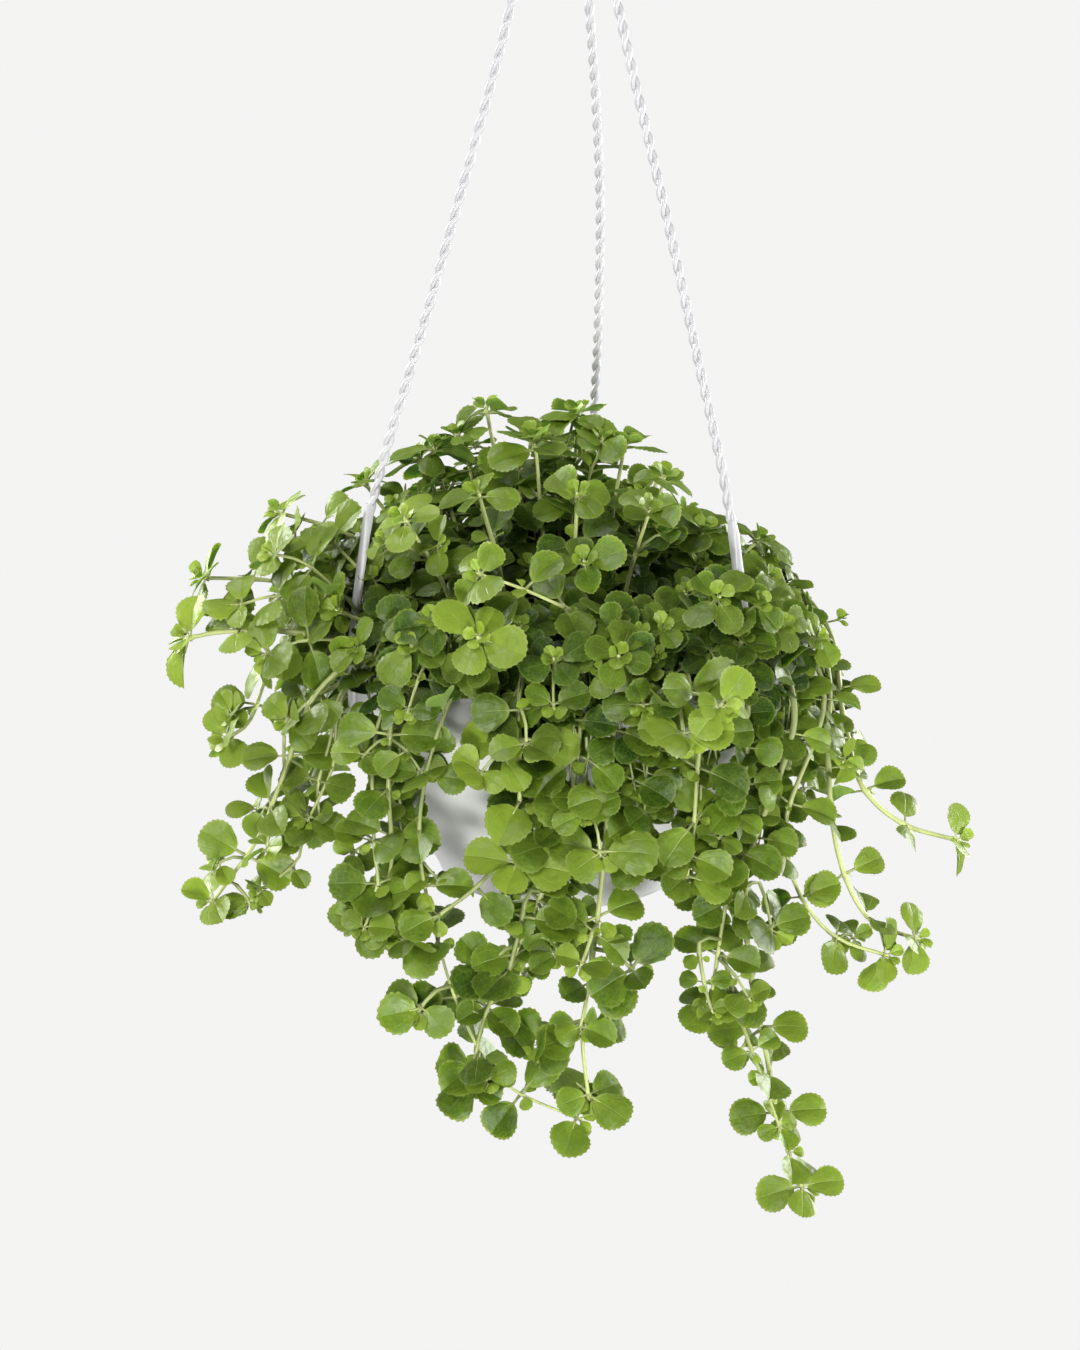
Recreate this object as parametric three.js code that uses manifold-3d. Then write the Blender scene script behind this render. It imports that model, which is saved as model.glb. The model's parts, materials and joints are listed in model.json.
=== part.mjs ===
// A hanging potted pilea: a white bowl of a pot on a three-armed plastic hanger, filled with dark
// soil, with leafy stems that mound over the rim and trail far below it.
// Millimetres, +Z up, the front of the plant faces -Y. The origin is the point inside the hook
// where the plant hangs. Every size below it is measured from the middle of the pot's rim.

import * as THREE from 'three';
import { mergeVertices } from 'three/addons/utils/BufferGeometryUtils.js';
import Module from 'manifold-3d';

const wasm = await Module();
wasm.setup();
const { Manifold, Mesh } = wasm;

// Gap between pieces that touch.
const gap = 0.3;

// Pot: a tapered bowl with an upright band under its rim.
const rimRadius = 70;
const bandHeight = 16;
const bandStep = 2.6;
const potHeight = 80;
const baseRadius = 41;
const wallThickness = 1.8;
const footRounding = 3;
const wallBulge = 2;
const potSides = 24;

// Soil, and the plain holes that the stems stand in.
const soilBelowRim = 8;
const holeDepth = 8;
const holeRadius = 3.7;
const holeSides = 3;

// Hanger: a hub with a hook, and three arms that clip under the pot's band.
const hubHeight = 252;
const hubRadius = 10;
const hubThickness = 5;
const armRadius = 1.45;
const hookRadius = 9;
const hookWire = 2;
const hookCentre = hubHeight + 31;
const hangHeight = hookCentre + hookRadius - hookWire;
const tabWidth = 5;
const joinTolerance = 0.02;

// Stems and leaves.
const stemRadius = 1.4;
const tipRadius = 1.0;
const uprightRun = 1.5;
const tipLength = 2;
const nodeLength = 1.4;
const bareRun = 14;
const bladeThickness = 0.75;
const bladeClearance = 0.4;
const tipDroop = 0.3;
const sideDroop = 0.35;
const stemTop = -soilBelowRim;

const potWhite = new THREE.MeshStandardMaterial({ color: 0xe9ebe8, roughness: 0.35, metalness: 0 });
const hangerWhite = new THREE.MeshStandardMaterial({ color: 0xf2f2f1, roughness: 0.4, metalness: 0 });
const soilDark = new THREE.MeshStandardMaterial({ color: 0x241d14, roughness: 0.95, metalness: 0 });
const leafGreen = new THREE.MeshStandardMaterial({ color: 0x5f8f2c, roughness: 0.45, metalness: 0 });
const leafBright = new THREE.MeshStandardMaterial({ color: 0x86b23a, roughness: 0.45, metalness: 0 });

const vec = (x, y, z) => new THREE.Vector3(x, y, z);
const radians = THREE.MathUtils.degToRad;

// A draw from 0 to 1 that is always the same for the same stem and count.
function draw(seed, count) {
	const wave = Math.sin(seed * 12.9898 + count * 78.233) * 43758.5453;
	return wave - Math.floor(wave);
}

// Turns a closed three.js geometry into a solid that can be joined and cut.
function solidOf(geometry) {
	const bare = new THREE.BufferGeometry();
	bare.setAttribute('position', geometry.getAttribute('position'));
	if (geometry.index) bare.setIndex(geometry.index);
	const merged = mergeVertices(bare, 1e-4);
	const corners = merged.index.array;
	const kept = [];
	for (let i = 0; i < corners.length; i += 3) {
		const [a, b, c] = [corners[i], corners[i + 1], corners[i + 2]];
		if (a !== b && b !== c && c !== a) kept.push(a, b, c);
	}
	return new Manifold(new Mesh({
		numProp: 3,
		vertProperties: merged.attributes.position.array,
		triVerts: new Uint32Array(kept),
	}));
}

// Turns a solid back into a named mesh.
function meshOf(name, solid, material) {
	const { numProp, vertProperties, triVerts } = solid.getMesh();
	const geometry = new THREE.BufferGeometry();
	const positions = new Float32Array((vertProperties.length / numProp) * 3);
	for (let i = 0; i < positions.length / 3; i++) {
		for (let k = 0; k < 3; k++) positions[i * 3 + k] = vertProperties[i * numProp + k];
	}
	geometry.setAttribute('position', new THREE.BufferAttribute(positions, 3));
	geometry.setIndex(new THREE.BufferAttribute(new Uint32Array(triVerts), 1));
	const mesh = new THREE.Mesh(geometry, material);
	mesh.name = name;
	return mesh;
}

// A solid of revolution about Z, from points [radius, height] that start and end on the axis.
function turned(profile, sides) {
	const points = profile.map(([radius, height]) => new THREE.Vector2(radius, height));
	return solidOf(new THREE.LatheGeometry(points, sides).rotateX(Math.PI / 2));
}

// A tube with few sides along a smooth curve through the points.
function tube(points, radius, sides, steps) {
	const section = new THREE.Shape();
	for (let i = 0; i < sides; i++) {
		const turn = (i / sides) * 2 * Math.PI + Math.PI / 4;
		const [x, y] = [radius * Math.cos(turn), radius * Math.sin(turn)];
		if (i === 0) section.moveTo(x, y);
		else section.lineTo(x, y);
	}
	section.closePath();
	const extrudePath = new THREE.CatmullRomCurve3(points);
	return solidOf(new THREE.ExtrudeGeometry(section, { steps, extrudePath, bevelEnabled: false }));
}

// The pot's outside from the foot to the band, at a share of the wall's height, moved in by inset.
function wallRadius(share, inset) {
	const straight = THREE.MathUtils.lerp(baseRadius, rimRadius - bandStep, share);
	return straight + wallBulge * Math.sin(Math.PI * share) - inset;
}

function wallPoints(inset, foot) {
	const lowest = -potHeight + footRounding;
	const highest = -bandHeight - 0.6;
	return [0, 0.5, 1].map((share) => [
		wallRadius(share, inset),
		THREE.MathUtils.lerp(lowest, highest, share) + (share === 0 ? foot : 0),
	]);
}

function makePot() {
	const floor = -potHeight + wallThickness;
	const inner = wallPoints(wallThickness, 0).reverse();
	return turned([
		[0, -potHeight],
		[baseRadius - footRounding, -potHeight],
		...wallPoints(0, 0),
		[rimRadius, -bandHeight],
		[rimRadius, -1],
		[rimRadius - 1, 0],
		[rimRadius - bandStep - 0.6, 0],
		...inner,
		[baseRadius - footRounding - 0.4, floor],
		[0, floor],
	], potSides);
}

// The soil fills the pot to just under its rim, a gap inside the wall.
function makeSoil(roots) {
	const inset = wallThickness + gap + 0.2;
	const body = turned([
		[0, -potHeight + wallThickness + gap],
		[baseRadius - footRounding - 1.2, -potHeight + wallThickness + gap],
		...wallPoints(inset, 0.4),
		[rimRadius - bandStep - 1.4, -soilBelowRim],
		[0, -soilBelowRim],
	], potSides);
	const holes = roots.map(([x, y]) => tube(
		[vec(x, y, stemTop - holeDepth), vec(x, y, stemTop + 2)], holeRadius, holeSides, 1));
	return body.subtract(Manifold.union(holes)).simplify(joinTolerance);
}

// The hub is a small disc that the arms hang from, with an open hook above it.
function makeHub() {
	const disc = turned([
		[0, hubHeight],
		[hubRadius - 0.8, hubHeight],
		[hubRadius, hubHeight + 1],
		[hubRadius - 1.2, hubHeight + hubThickness - 1],
		[3.2, hubHeight + hubThickness + 2],
		[0, hubHeight + hubThickness + 2],
	], 10);
	const round = [248, 214, 180, 147, 114, 82, 50, 20, -14].map((degrees) => vec(
		hookRadius * Math.cos(radians(degrees)), 0,
		hookCentre + hookRadius * Math.sin(radians(degrees))));
	const tip = vec(hookRadius + 1.6, 0, hookCentre - 6);
	const hook = tube([vec(0, 0, hubHeight + 3), vec(0, 0, hookCentre - 16), ...round, tip], hookWire, 6, 15);
	return disc.add(hook).simplify(joinTolerance);
}

// Each arm bows outwards from the hub. Its lower end widens to a flat tab that lies against the
// band and has a foot turned in under the band's lower edge.
const armPlaces = [
	{ name: 'hanger_arm_left', azimuth: 202, sway: 0, bow: 0 },
	{ name: 'hanger_arm_right', azimuth: -38, sway: 0, bow: 3 },
	{ name: 'hanger_arm_back', azimuth: 82, sway: 6, bow: 0 },
];
const armFoot = 44;
const armRoute = [[6.2, hubHeight - 0.7], [17, 199], [36, 135], [51, 88], [60, 61], [64.7, armFoot]];
const tabOutline = [
	[65.6, armFoot + 2],
	[63.8, armFoot + 1.6],
	[67.9, 21],
	[rimRadius + gap, 3],
	[rimRadius + gap, -bandHeight - gap],
	[rimRadius - bandStep + 1, -bandHeight - gap],
	[rimRadius - bandStep + 1, -bandHeight - 2.4],
	[rimRadius + 2.2, -bandHeight - 2.4],
	[rimRadius + 2.2, 3.4],
	[69.7, 22],
];

function makeArm({ azimuth, sway, bow }) {
	const out = vec(Math.cos(radians(azimuth)), Math.sin(radians(azimuth)), 0);
	const side = vec(out.y, -out.x, 0);
	const route = armRoute.map(([radius, height]) => {
		const share = Math.sin(Math.PI * (height - armFoot) / (hubHeight - 0.7 - armFoot));
		return out.clone().multiplyScalar(radius + bow * share).addScaledVector(side, sway * share)
			.setZ(height);
	});
	const rod = tube(route, armRadius, 6, 7);
	const outline = new THREE.Shape(tabOutline.map(([radius, height]) => new THREE.Vector2(radius, height)));
	const tab = new THREE.ExtrudeGeometry(outline, { depth: tabWidth, bevelEnabled: false });
	tab.translate(0, 0, -tabWidth / 2);
	tab.applyMatrix4(new THREE.Matrix4().makeBasis(out, vec(0, 0, 1), side));
	return rod.add(solidOf(tab)).simplify(joinTolerance);
}

// The outline of one blade, as shares of the leaf's length: a wedge from the stem, then a round
// end with an outline point at each tooth and each notch between two teeth.
const bladeCentre = 0.67;
const bladeReach = 0.33;
const bladeHalfWidth = 0.37;
const wedgeAngle = radians(114);

function bladeOutline(teeth) {
	const points = [];
	const last = 2 * teeth - 2;
	for (let i = 0; i <= last; i++) {
		const turn = THREE.MathUtils.lerp(-wedgeAngle, wedgeAngle, i / last);
		const reach = i % 2 === 0 ? 1.03 : 0.9;
		points.push([
			bladeCentre + bladeReach * reach * Math.cos(turn),
			bladeHalfWidth * reach * Math.sin(turn),
		]);
	}
	return points;
}

// The outline's points on a blade's upper and lower face. The blade starts at base and runs
// along; it arches towards its tip and its sides droop. grow makes it larger all round.
function bladePoints({ base, along, across, up }, { length, lift, teeth }, grow = 0) {
	const half = bladeThickness / 2 + grow;
	const middle = bladeOutline(teeth).map(([x, y]) => base.clone()
		.addScaledVector(along, length * x + grow * Math.sign(x - bladeCentre / 2))
		.addScaledVector(across, length * y + grow * Math.sign(y))
		.addScaledVector(up, length * (lift * x - tipDroop * x * x - sideDroop * y * y)));
	return {
		upper: middle.map((point) => point.clone().addScaledVector(up, half)),
		lower: middle.map((point) => point.clone().addScaledVector(up, -half)),
	};
}

// Joins a blade to four root points, both faces with the same triangles. The root runs round
// from the lower right corner, seen from the blade's tip, and right is against across.
function bladeFaces([lowRight, lowLeft, highLeft, highRight], upper, lower) {
	const middle = (upper.length - 1) / 2;
	const fan = (right, left, rim) => [
		...rim.slice(0, middle).map((point, i) => [right, point, rim[i + 1]]),
		[right, rim[middle], left],
		...rim.slice(middle, -1).map((point, i) => [left, point, rim[middle + i + 1]]),
	];
	const faces = [
		...fan(highRight, highLeft, upper),
		...fan(lowRight, lowLeft, lower).map(([a, b, c]) => [c, b, a]),
	];
	const high = [highRight, ...upper, highLeft];
	const low = [lowRight, ...lower, lowLeft];
	for (let i = 0; i + 1 < high.length; i++) {
		faces.push([high[i], low[i], low[i + 1]], [high[i], low[i + 1], high[i + 1]]);
	}
	return faces;
}

function solidFrom(points, faces) {
	return new Manifold(new Mesh({
		numProp: 3,
		vertProperties: new Float32Array(points.flatMap((point) => point.toArray())),
		triVerts: new Uint32Array(faces.flat()),
	}));
}

// A blade by itself, made larger all round, that stands for the room that the leaf needs.
function bladeRoom(frame, leaf) {
	const { base, along, across, up } = frame;
	const { upper, lower } = bladePoints(frame, leaf, bladeClearance);
	const root = [[-1, -1], [1, -1], [1, 1], [-1, 1]].map(([side, height]) => base.clone()
		.addScaledVector(along, 0.14 * leaf.length).addScaledVector(across, side * 1.6)
		.addScaledVector(up, 0.1 * leaf.length * leaf.lift + height * 1.1));
	const points = [...root, ...upper, ...lower];
	const count = upper.length;
	const faces = bladeFaces([0, 1, 2, 3], upper.map((_, i) => 4 + i), lower.map((_, i) => 4 + count + i));
	return solidFrom(points, [...faces, [0, 3, 2], [0, 2, 1]]);
}

// Leaves face the light: up, a little to the front, and more outwards further from the middle.
// Each leaf strays from that by its own draw.
function facingAt(point, seed, count) {
	return vec(
		point.x / 150 + 0.5 * (draw(seed, count + 50) - 0.5),
		point.y / 100 - 0.15 + 0.5 * (draw(seed, count + 60) - 0.5),
		0.85,
	).normalize();
}

// The stems. Each has a root in the soil and passes the points in turn, tip last. leaf is the
// length of its leaves, spacing the run of stem between two pairs, and pairs how many pairs stand
// below the rosette at its tip.
const crownStems = [
	{ name: 'crown_top_left', tip: [-25, 22, 67], leaf: 17, pairs: 2 },
	{ name: 'crown_top_middle', tip: [-9, -6, 63], leaf: 20, pairs: 1 },
	{ name: 'crown_top_back', tip: [4, 27, 65], leaf: 17, pairs: 2 },
	{ name: 'crown_top_right', tip: [19, 8, 59], leaf: 18, pairs: 1 },
	{ name: 'crown_upper_right', tip: [30, 20, 45], leaf: 17, pairs: 2 },
	{ name: 'crown_middle_right', tip: [26, -36, 51], leaf: 18, pairs: 1 },
	{ name: 'crown_upper_left', tip: [-46, 14, 53], leaf: 18, pairs: 1 },
	{ name: 'crown_bright_left', tip: [-48, -46, 51], leaf: 18, pairs: 1, bright: true },
	{ name: 'crown_left', tip: [-64, 14, 45], leaf: 18, pairs: 1 },
	{ name: 'crown_front_bright', tip: [-25, -86, 27], leaf: 20, pairs: 1, bright: true },
	{ name: 'crown_front_left', tip: [-45, -76, 21], leaf: 18, pairs: 1 },
	{ name: 'crown_front_middle', tip: [6, -60, 42], leaf: 17, pairs: 1 },
	{ name: 'crown_front_star', tip: [16, -88, 22], leaf: 17, pairs: 1 },
	{ name: 'crown_front_right', tip: [46, -66, 33], leaf: 18, pairs: 1 },
	{ name: 'crown_right_top', tip: [62, 2, 30], leaf: 17, pairs: 1 },
	{ name: 'crown_right', tip: [71, -30, 14], leaf: 17, pairs: 1 },
	{ name: 'crown_left_front', tip: [-69, -47, 22], leaf: 18, pairs: 1 },
	{ name: 'crown_back_right', tip: [40, 56, 22], leaf: 19, pairs: 1 },
	{ name: 'crown_back_middle', tip: [-4, 62, 46], leaf: 19, pairs: 1 },
	{ name: 'crown_back_left', tip: [-48, 52, 42], leaf: 19, pairs: 1 },
	{ name: 'crown_right_back', tip: [69, 23, 6], leaf: 17, pairs: 1 },
	{ name: 'crown_left_back', tip: [-80, 34, 20], leaf: 18, pairs: 1 },
	{ name: 'crown_inner_left', tip: [-26, -36, 56], leaf: 18, pairs: 1 },
	{ name: 'crown_inner_front', tip: [4, -33, 55], leaf: 17, pairs: 1 },
	{ name: 'crown_inner_right', tip: [44, -14, 38], leaf: 17, pairs: 1 },
	{ name: 'crown_low_back_right', tip: [24, 84, 20], leaf: 19, pairs: 1 },
	{ name: 'crown_low_back_left', tip: [-34, 82, 20], leaf: 19, pairs: 1 },
	{ name: 'crown_low_right', tip: [64, 46, 8], leaf: 18, pairs: 1 },
];

const reachingStems = [
	{
		name: 'left_high_stem', root: [-46, -6], leaf: 13, pairs: 3, spacing: 13,
		points: [[-60, -6, 28], [-76, -8, 37], [-90, -8, 41]],
	},
	{
		name: 'left_upper_stem', root: [-52, -16], leaf: 15, pairs: 3, spacing: 14,
		points: [[-66, -17, 15], [-90, -22, 23], [-112, -25, 25]],
	},
	{
		name: 'left_long_stem', root: [-44, -32], leaf: 16, pairs: 3, spacing: 16, bright: true,
		points: [[-62, -44, 9], [-84, -44, 14], [-106, -42, 13], [-116, -40, 10]],
	},
	{
		name: 'left_lower_stem', root: [-56, 4], leaf: 15, pairs: 3, spacing: 14,
		points: [[-73, -6, 9], [-90, -22, -2], [-98, -40, -18], [-105, -42, -22]],
	},
	{
		name: 'left_trailing_stem', root: [-42, -38], leaf: 15, pairs: 4, spacing: 19,
		points: [[-58, -52, 10], [-74, -58, 0], [-86, -54, -30], [-94, -52, -50], [-110, -50, -74]],
	},
	{
		name: 'front_left_stem', root: [-34, -45], leaf: 17, pairs: 4, spacing: 17,
		points: [[-43, -60, 9], [-50, -76, 3], [-52, -80, -22], [-52, -74, -50], [-58, -70, -74]],
	},
	{
		name: 'front_left_long_stem', root: [-22, -52], leaf: 17, pairs: 6, spacing: 19,
		points: [
			[-28, -68, 9], [-36, -84, 0], [-43, -83, -36], [-38, -80, -72], [-30, -82, -98],
			[-18, -84, -118], [6, -84, -131],
		],
	},
	{
		name: 'front_rosette_stem', root: [-12, -54], leaf: 20, pairs: 2, spacing: 20, bright: true,
		points: [[-13, -74, 8], [-13, -87, -6], [-13, -87, -24], [-14, -86, -46]],
	},
	{
		name: 'front_middle_stem', root: [3, -55], leaf: 17, pairs: 4, spacing: 20,
		points: [[5, -74, 8], [4, -85, -12], [-3, -83, -44], [-12, -82, -70], [-24, -80, -96]],
	},
	{
		name: 'front_long_stem', root: [17, -53], leaf: 18, pairs: 6, spacing: 20,
		points: [[16, -74, 8], [14, -85, -14], [12, -84, -44], [9, -84, -76], [6, -84, -102], [8, -84, -124]],
	},
	{
		name: 'front_bright_stem', root: [28, -48], leaf: 22, pairs: 1, spacing: 14, bright: true,
		points: [[32, -70, 9], [34, -86, 6], [35, -93, -2]],
	},
	{
		name: 'right_front_stem', root: [38, -41], leaf: 17, pairs: 3, spacing: 18,
		points: [[42, -64, 8], [40, -78, -12], [39, -78, -34], [37, -77, -54]],
	},
	{
		name: 'right_cluster_stem', root: [45, -34], leaf: 16, pairs: 4, spacing: 17,
		points: [[54, -56, 8], [55, -68, -12], [52, -68, -44], [48, -70, -76], [45, -71, -100]],
	},
	{
		name: 'right_trailing_stem', root: [50, -26], leaf: 17, pairs: 6, spacing: 17,
		points: [
			[62, -38, 9], [70, -54, -8], [56, -64, -56], [58, -60, -90], [64, -56, -122], [70, -50, -152],
			[78, -42, -178],
		],
	},
	{
		name: 'right_lower_stem', root: [54, -15], leaf: 15, pairs: 4, spacing: 17,
		points: [[70, -24, 9], [80, -40, -8], [68, -56, -44], [73, -52, -68], [84, -54, -82], [102, -52, -90]],
	},
	{
		name: 'right_down_stem', root: [56, -4], leaf: 15, pairs: 4, spacing: 17,
		points: [[74, -8, 9], [82, -24, -4], [82, -38, -30], [86, -46, -60], [96, -46, -80], [112, -44, -88]],
	},
	{
		name: 'right_long_stem', root: [55, 9], leaf: 14, pairs: 4, spacing: 17,
		points: [[72, 10, 10], [84, -6, 1], [87, -28, -18], [93, -40, -38], [105, -42, -49], [124, -40, -56]],
	},
	{
		name: 'back_right_stem', root: [42, 40], leaf: 18, pairs: 4, spacing: 18,
		points: [[58, 54, 12], [66, 62, -6], [68, 64, -36], [70, 64, -66]],
	},
	{
		name: 'back_stem', root: [-14, 56], leaf: 18, pairs: 4, spacing: 18,
		points: [[-18, 76, 12], [-19, 88, -8], [-18, 90, -42], [-20, 90, -80]],
	},
	{
		name: 'back_left_stem', root: [-50, 26], leaf: 18, pairs: 4, spacing: 18,
		points: [[-68, 36, 12], [-80, 44, -8], [-82, 44, -40], [-86, 42, -70]],
	},
];

// A crown stem rises from a root nearer the middle and arches out to its tip.
function crownRoute({ tip: [x, y, z] }) {
	const away = Math.hypot(x, y);
	const root = Math.min(0.62 * away, 50) / away;
	const rise = z - stemTop;
	return {
		root: [x * root, y * root],
		points: [[x * (0.35 + 0.65 * root), y * (0.35 + 0.65 * root), stemTop + 0.55 * rise], [x, y, z]],
	};
}

function stemPoints({ root: [x, y], points }) {
	return [
		vec(x, y, stemTop - holeDepth + gap), vec(x, y, stemTop + uprightRun),
		...points.map((point) => vec(...point)),
	];
}

const stems = [
	...crownStems.map((stem) => ({ spacing: 17, ...stem, ...crownRoute(stem) })),
	...reachingStems,
];

// Solids that later leaves stay clear of, each with the name of its node.
const placed = [];

function place(name, solid) {
	placed.push({ name, solid, box: solid.boundingBox() });
}

function boxesMeet(a, b) {
	return [0, 1, 2].every((k) => a.min[k] <= b.max[k] && b.min[k] <= a.max[k]);
}

function isClear(solid) {
	const box = solid.boundingBox();
	return placed.every((other) => !boxesMeet(box, other.box) || solid.intersect(other.solid).isEmpty());
}

// Turns, tilts and sizes that are tried in order until a leaf is clear of everything else.
const tries = [
	{ turn: 0, size: 1 }, { turn: 20, size: 1 }, { turn: -20, size: 1 }, { turn: 0, size: 1, tilt: 0.3 },
	{ turn: 0, size: 1, tilt: -0.3 }, { turn: 20, size: 0.85, tilt: 0.3 }, { turn: -20, size: 0.85, tilt: 0.3 },
	{ turn: 20, size: 0.85, tilt: -0.3 }, { turn: -20, size: 0.85, tilt: -0.3 }, { turn: 0, size: 0.75 },
	{ turn: 0, size: 0.75, tilt: 0.5 }, { turn: 0, size: 0.75, tilt: -0.5 }, { turn: 0, size: 0.6 },
];

// The frame of a leaf that leaves the stem at base, outwards from one of its faces.
function leafFrame(base, outward, stemway, light, turn) {
	const along = outward.clone().addScaledVector(light, -0.55 * outward.dot(light))
		.addScaledVector(stemway, Math.tan(radians(turn) * 0.6)).normalize();
	const across = light.clone().cross(along).normalize();
	return { base, along, across, up: along.clone().cross(across) };
}

function fitLeaf(name, base, outward, stemway, light, leaf) {
	for (const { turn, size, tilt = 0 } of tries) {
		const frame = leafFrame(base, outward, stemway, light, leaf.turn + turn);
		const fitted = { ...leaf, length: leaf.length * size, lift: leaf.lift + tilt };
		const room = bladeRoom(frame, fitted);
		if (isClear(room)) {
			place(name, room);
			return { frame, leaf: fitted };
		}
	}
	return null;
}

// Stations along a stem, each with its point, direction and the directions of its four sides.
function stationsOf(curve, distances, roll) {
	const length = curve.getLength();
	let reference = vec(Math.cos(roll), Math.sin(roll), 0);
	return distances.map((distance) => {
		const share = THREE.MathUtils.clamp(distance / length, 0, 1);
		const centre = curve.getPointAt(share);
		const stemway = curve.getTangentAt(share);
		reference = reference.clone().addScaledVector(stemway, -reference.dot(stemway)).normalize();
		const sides = [0, 1, 2, 3].map((j) => reference.clone().applyAxisAngle(stemway, j * Math.PI / 2));
		return { centre, stemway, sides, share };
	});
}

// One leafy stem: a four-sided skin along the curve, with leaves drawn out of its faces.
class LeafyStem {
	constructor(stem, index) {
		Object.assign(this, stem);
		this.index = index;
		this.curve = new THREE.CatmullRomCurve3(stemPoints(stem));
		const length = this.curve.getLength();
		this.nodes = [];
		for (let i = 0; i <= stem.pairs; i++) {
			this.nodes.unshift({ distance: length - tipLength - i * stem.spacing, order: i });
		}
		const firstNode = this.nodes[0].distance;
		const bare = Math.max(2, Math.round(firstNode / bareRun));
		const distances = [];
		for (let i = 0; i < bare; i++) distances.push(i === 1 ? holeDepth : (i / bare) * firstNode);
		this.nodes.forEach(({ distance }, i) => {
			distances.push(distance - nodeLength / 2, distance + nodeLength / 2);
			const next = this.nodes[i + 1];
			if (next && next.distance - distance > bareRun) distances.push((distance + next.distance) / 2);
		});
		distances.push(length);
		this.distances = distances.sort((a, b) => a - b);
		this.stations = stationsOf(this.curve, this.distances, draw(index, 0) * Math.PI);
		this.points = this.stations.flatMap(({ centre, sides, share }) => sides.map((side) => (
			centre.clone().addScaledVector(side, THREE.MathUtils.lerp(stemRadius, tipRadius, share)))));
		this.fitted = new Map();
	}

	// The plain stem, as a solid that leaves stay clear of.
	plain() {
		return solidFrom(this.points, this.skin(() => false));
	}

	// Four faces between each two stations, except where a leaf is drawn out, and both ends.
	skin(isLeaf) {
		const faces = [[0, 2, 1], [0, 3, 2]];
		for (let i = 0; i + 1 < this.stations.length; i++) {
			for (let j = 0; j < 4; j++) {
				if (isLeaf(i, j)) continue;
				const [a, b, c, d] = this.corners(i, j);
				faces.push([a, b, c], [a, c, d]);
			}
		}
		const last = 4 * (this.stations.length - 1);
		return [...faces, [last, last + 1, last + 2], [last, last + 2, last + 3]];
	}

	corners(i, j) {
		const next = (j + 1) % 4;
		return [4 * i + j, 4 * i + next, 4 * (i + 1) + next, 4 * (i + 1) + j];
	}

	// The leaves of one node: four in the rosette at the tip, and two opposite ones elsewhere.
	fitNode({ distance, order }) {
		const i = this.distances.indexOf(distance - nodeLength / 2);
		const sides = order === 0 ? [0, 2, 1, 3] : [order % 2, order % 2 + 2];
		for (const j of sides) {
			const count = 10 * order + j;
			const smaller = order === 0 && j % 2 === 1 ? 0.8 : 1;
			const base = vec(0, 0, 0);
			for (const corner of this.corners(i, j)) base.addScaledVector(this.points[corner], 0.25);
			const { centre, stemway } = this.stations[i];
			const outward = base.clone().sub(centre);
			outward.addScaledVector(stemway, -outward.dot(stemway)).normalize();
			const light = facingAt(base, this.index, count);
			const found = fitLeaf(this.name, base, outward, stemway, light, {
				turn: 30 * (draw(this.index, count) - 0.5),
				length: this.leaf * smaller * (0.92 + 0.16 * draw(this.index, count + 5)),
				lift: 0.15 + 0.3 * draw(this.index, count + 7),
				teeth: 4,
			});
			if (found) this.fitted.set(4 * i + j, found);
		}
	}

	solid() {
		const points = [...this.points];
		const faces = this.skin((i, j) => this.fitted.has(4 * i + j));
		for (const [key, { frame, leaf }] of this.fitted) {
			const { upper, lower } = bladePoints(frame, leaf);
			const root = turnedToMatch(this.corners(Math.floor(key / 4), key % 4), points, frame);
			const first = points.length;
			faces.push(...bladeFaces(root, upper.map((_, i) => first + i), lower.map((_, i) => first + upper.length + i)));
			points.push(...upper, ...lower);
		}
		return solidFrom(points, faces);
	}
}

// The root corners of a leaf, started from the one that leaves the least twist in its base.
function turnedToMatch(corners, points, { base, across, up }) {
	const wanted = [[-1, -1], [1, -1], [1, 1], [-1, 1]].map(([side, height]) => (
		across.clone().multiplyScalar(side).addScaledVector(up, height)));
	const twist = (start) => wanted.reduce((sum, direction, k) => (
		sum - points[corners[(start + k) % 4]].clone().sub(base).dot(direction)), 0);
	const start = [0, 1, 2, 3].reduce((best, k) => (twist(k) < twist(best) ? k : best), 0);
	return [0, 1, 2, 3].map((k) => corners[(start + k) % 4]);
}

const group = new THREE.Group();
const plant = new THREE.Group();
plant.position.z = -hangHeight;
group.add(plant);

const pot = makePot();
place('pot', pot);
plant.add(meshOf('pot', pot, potWhite));

const soil = makeSoil(stems.map((stem) => stem.root));
place('soil', soil);
plant.add(meshOf('soil', soil, soilDark));

const hub = makeHub();
plant.add(meshOf('hanger_hub', hub, hangerWhite));

for (const arm of armPlaces) {
	const solid = makeArm(arm);
	place(arm.name, solid);
	plant.add(meshOf(arm.name, solid, hangerWhite));
}

const grown = stems.map((stem, index) => new LeafyStem(stem, index));
for (const stem of grown) place(stem.name, stem.plain());
const mostNodes = Math.max(...grown.map(({ nodes }) => nodes.length));
for (let order = 0; order < mostNodes; order++) {
	for (const stem of grown) {
		const node = stem.nodes.find((one) => one.order === order);
		if (node) stem.fitNode(node);
	}
}
for (const stem of grown) {
	plant.add(meshOf(stem.name, stem.solid(), stem.bright ? leafBright : leafGreen));
}

export default group;
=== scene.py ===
"""Looks for a hanging potted pilea: a white bowl pot on a twisted plastic hanger, dark soil, and
leafy stems that mound over the rim and trail below it.

Shapes are worked out in millimetres from the middle of the pot's rim, +Z up and the front facing
-Y, and are moved to the frame's origin, inside the hook, when they are made into meshes.
"""

import json
import math

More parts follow.
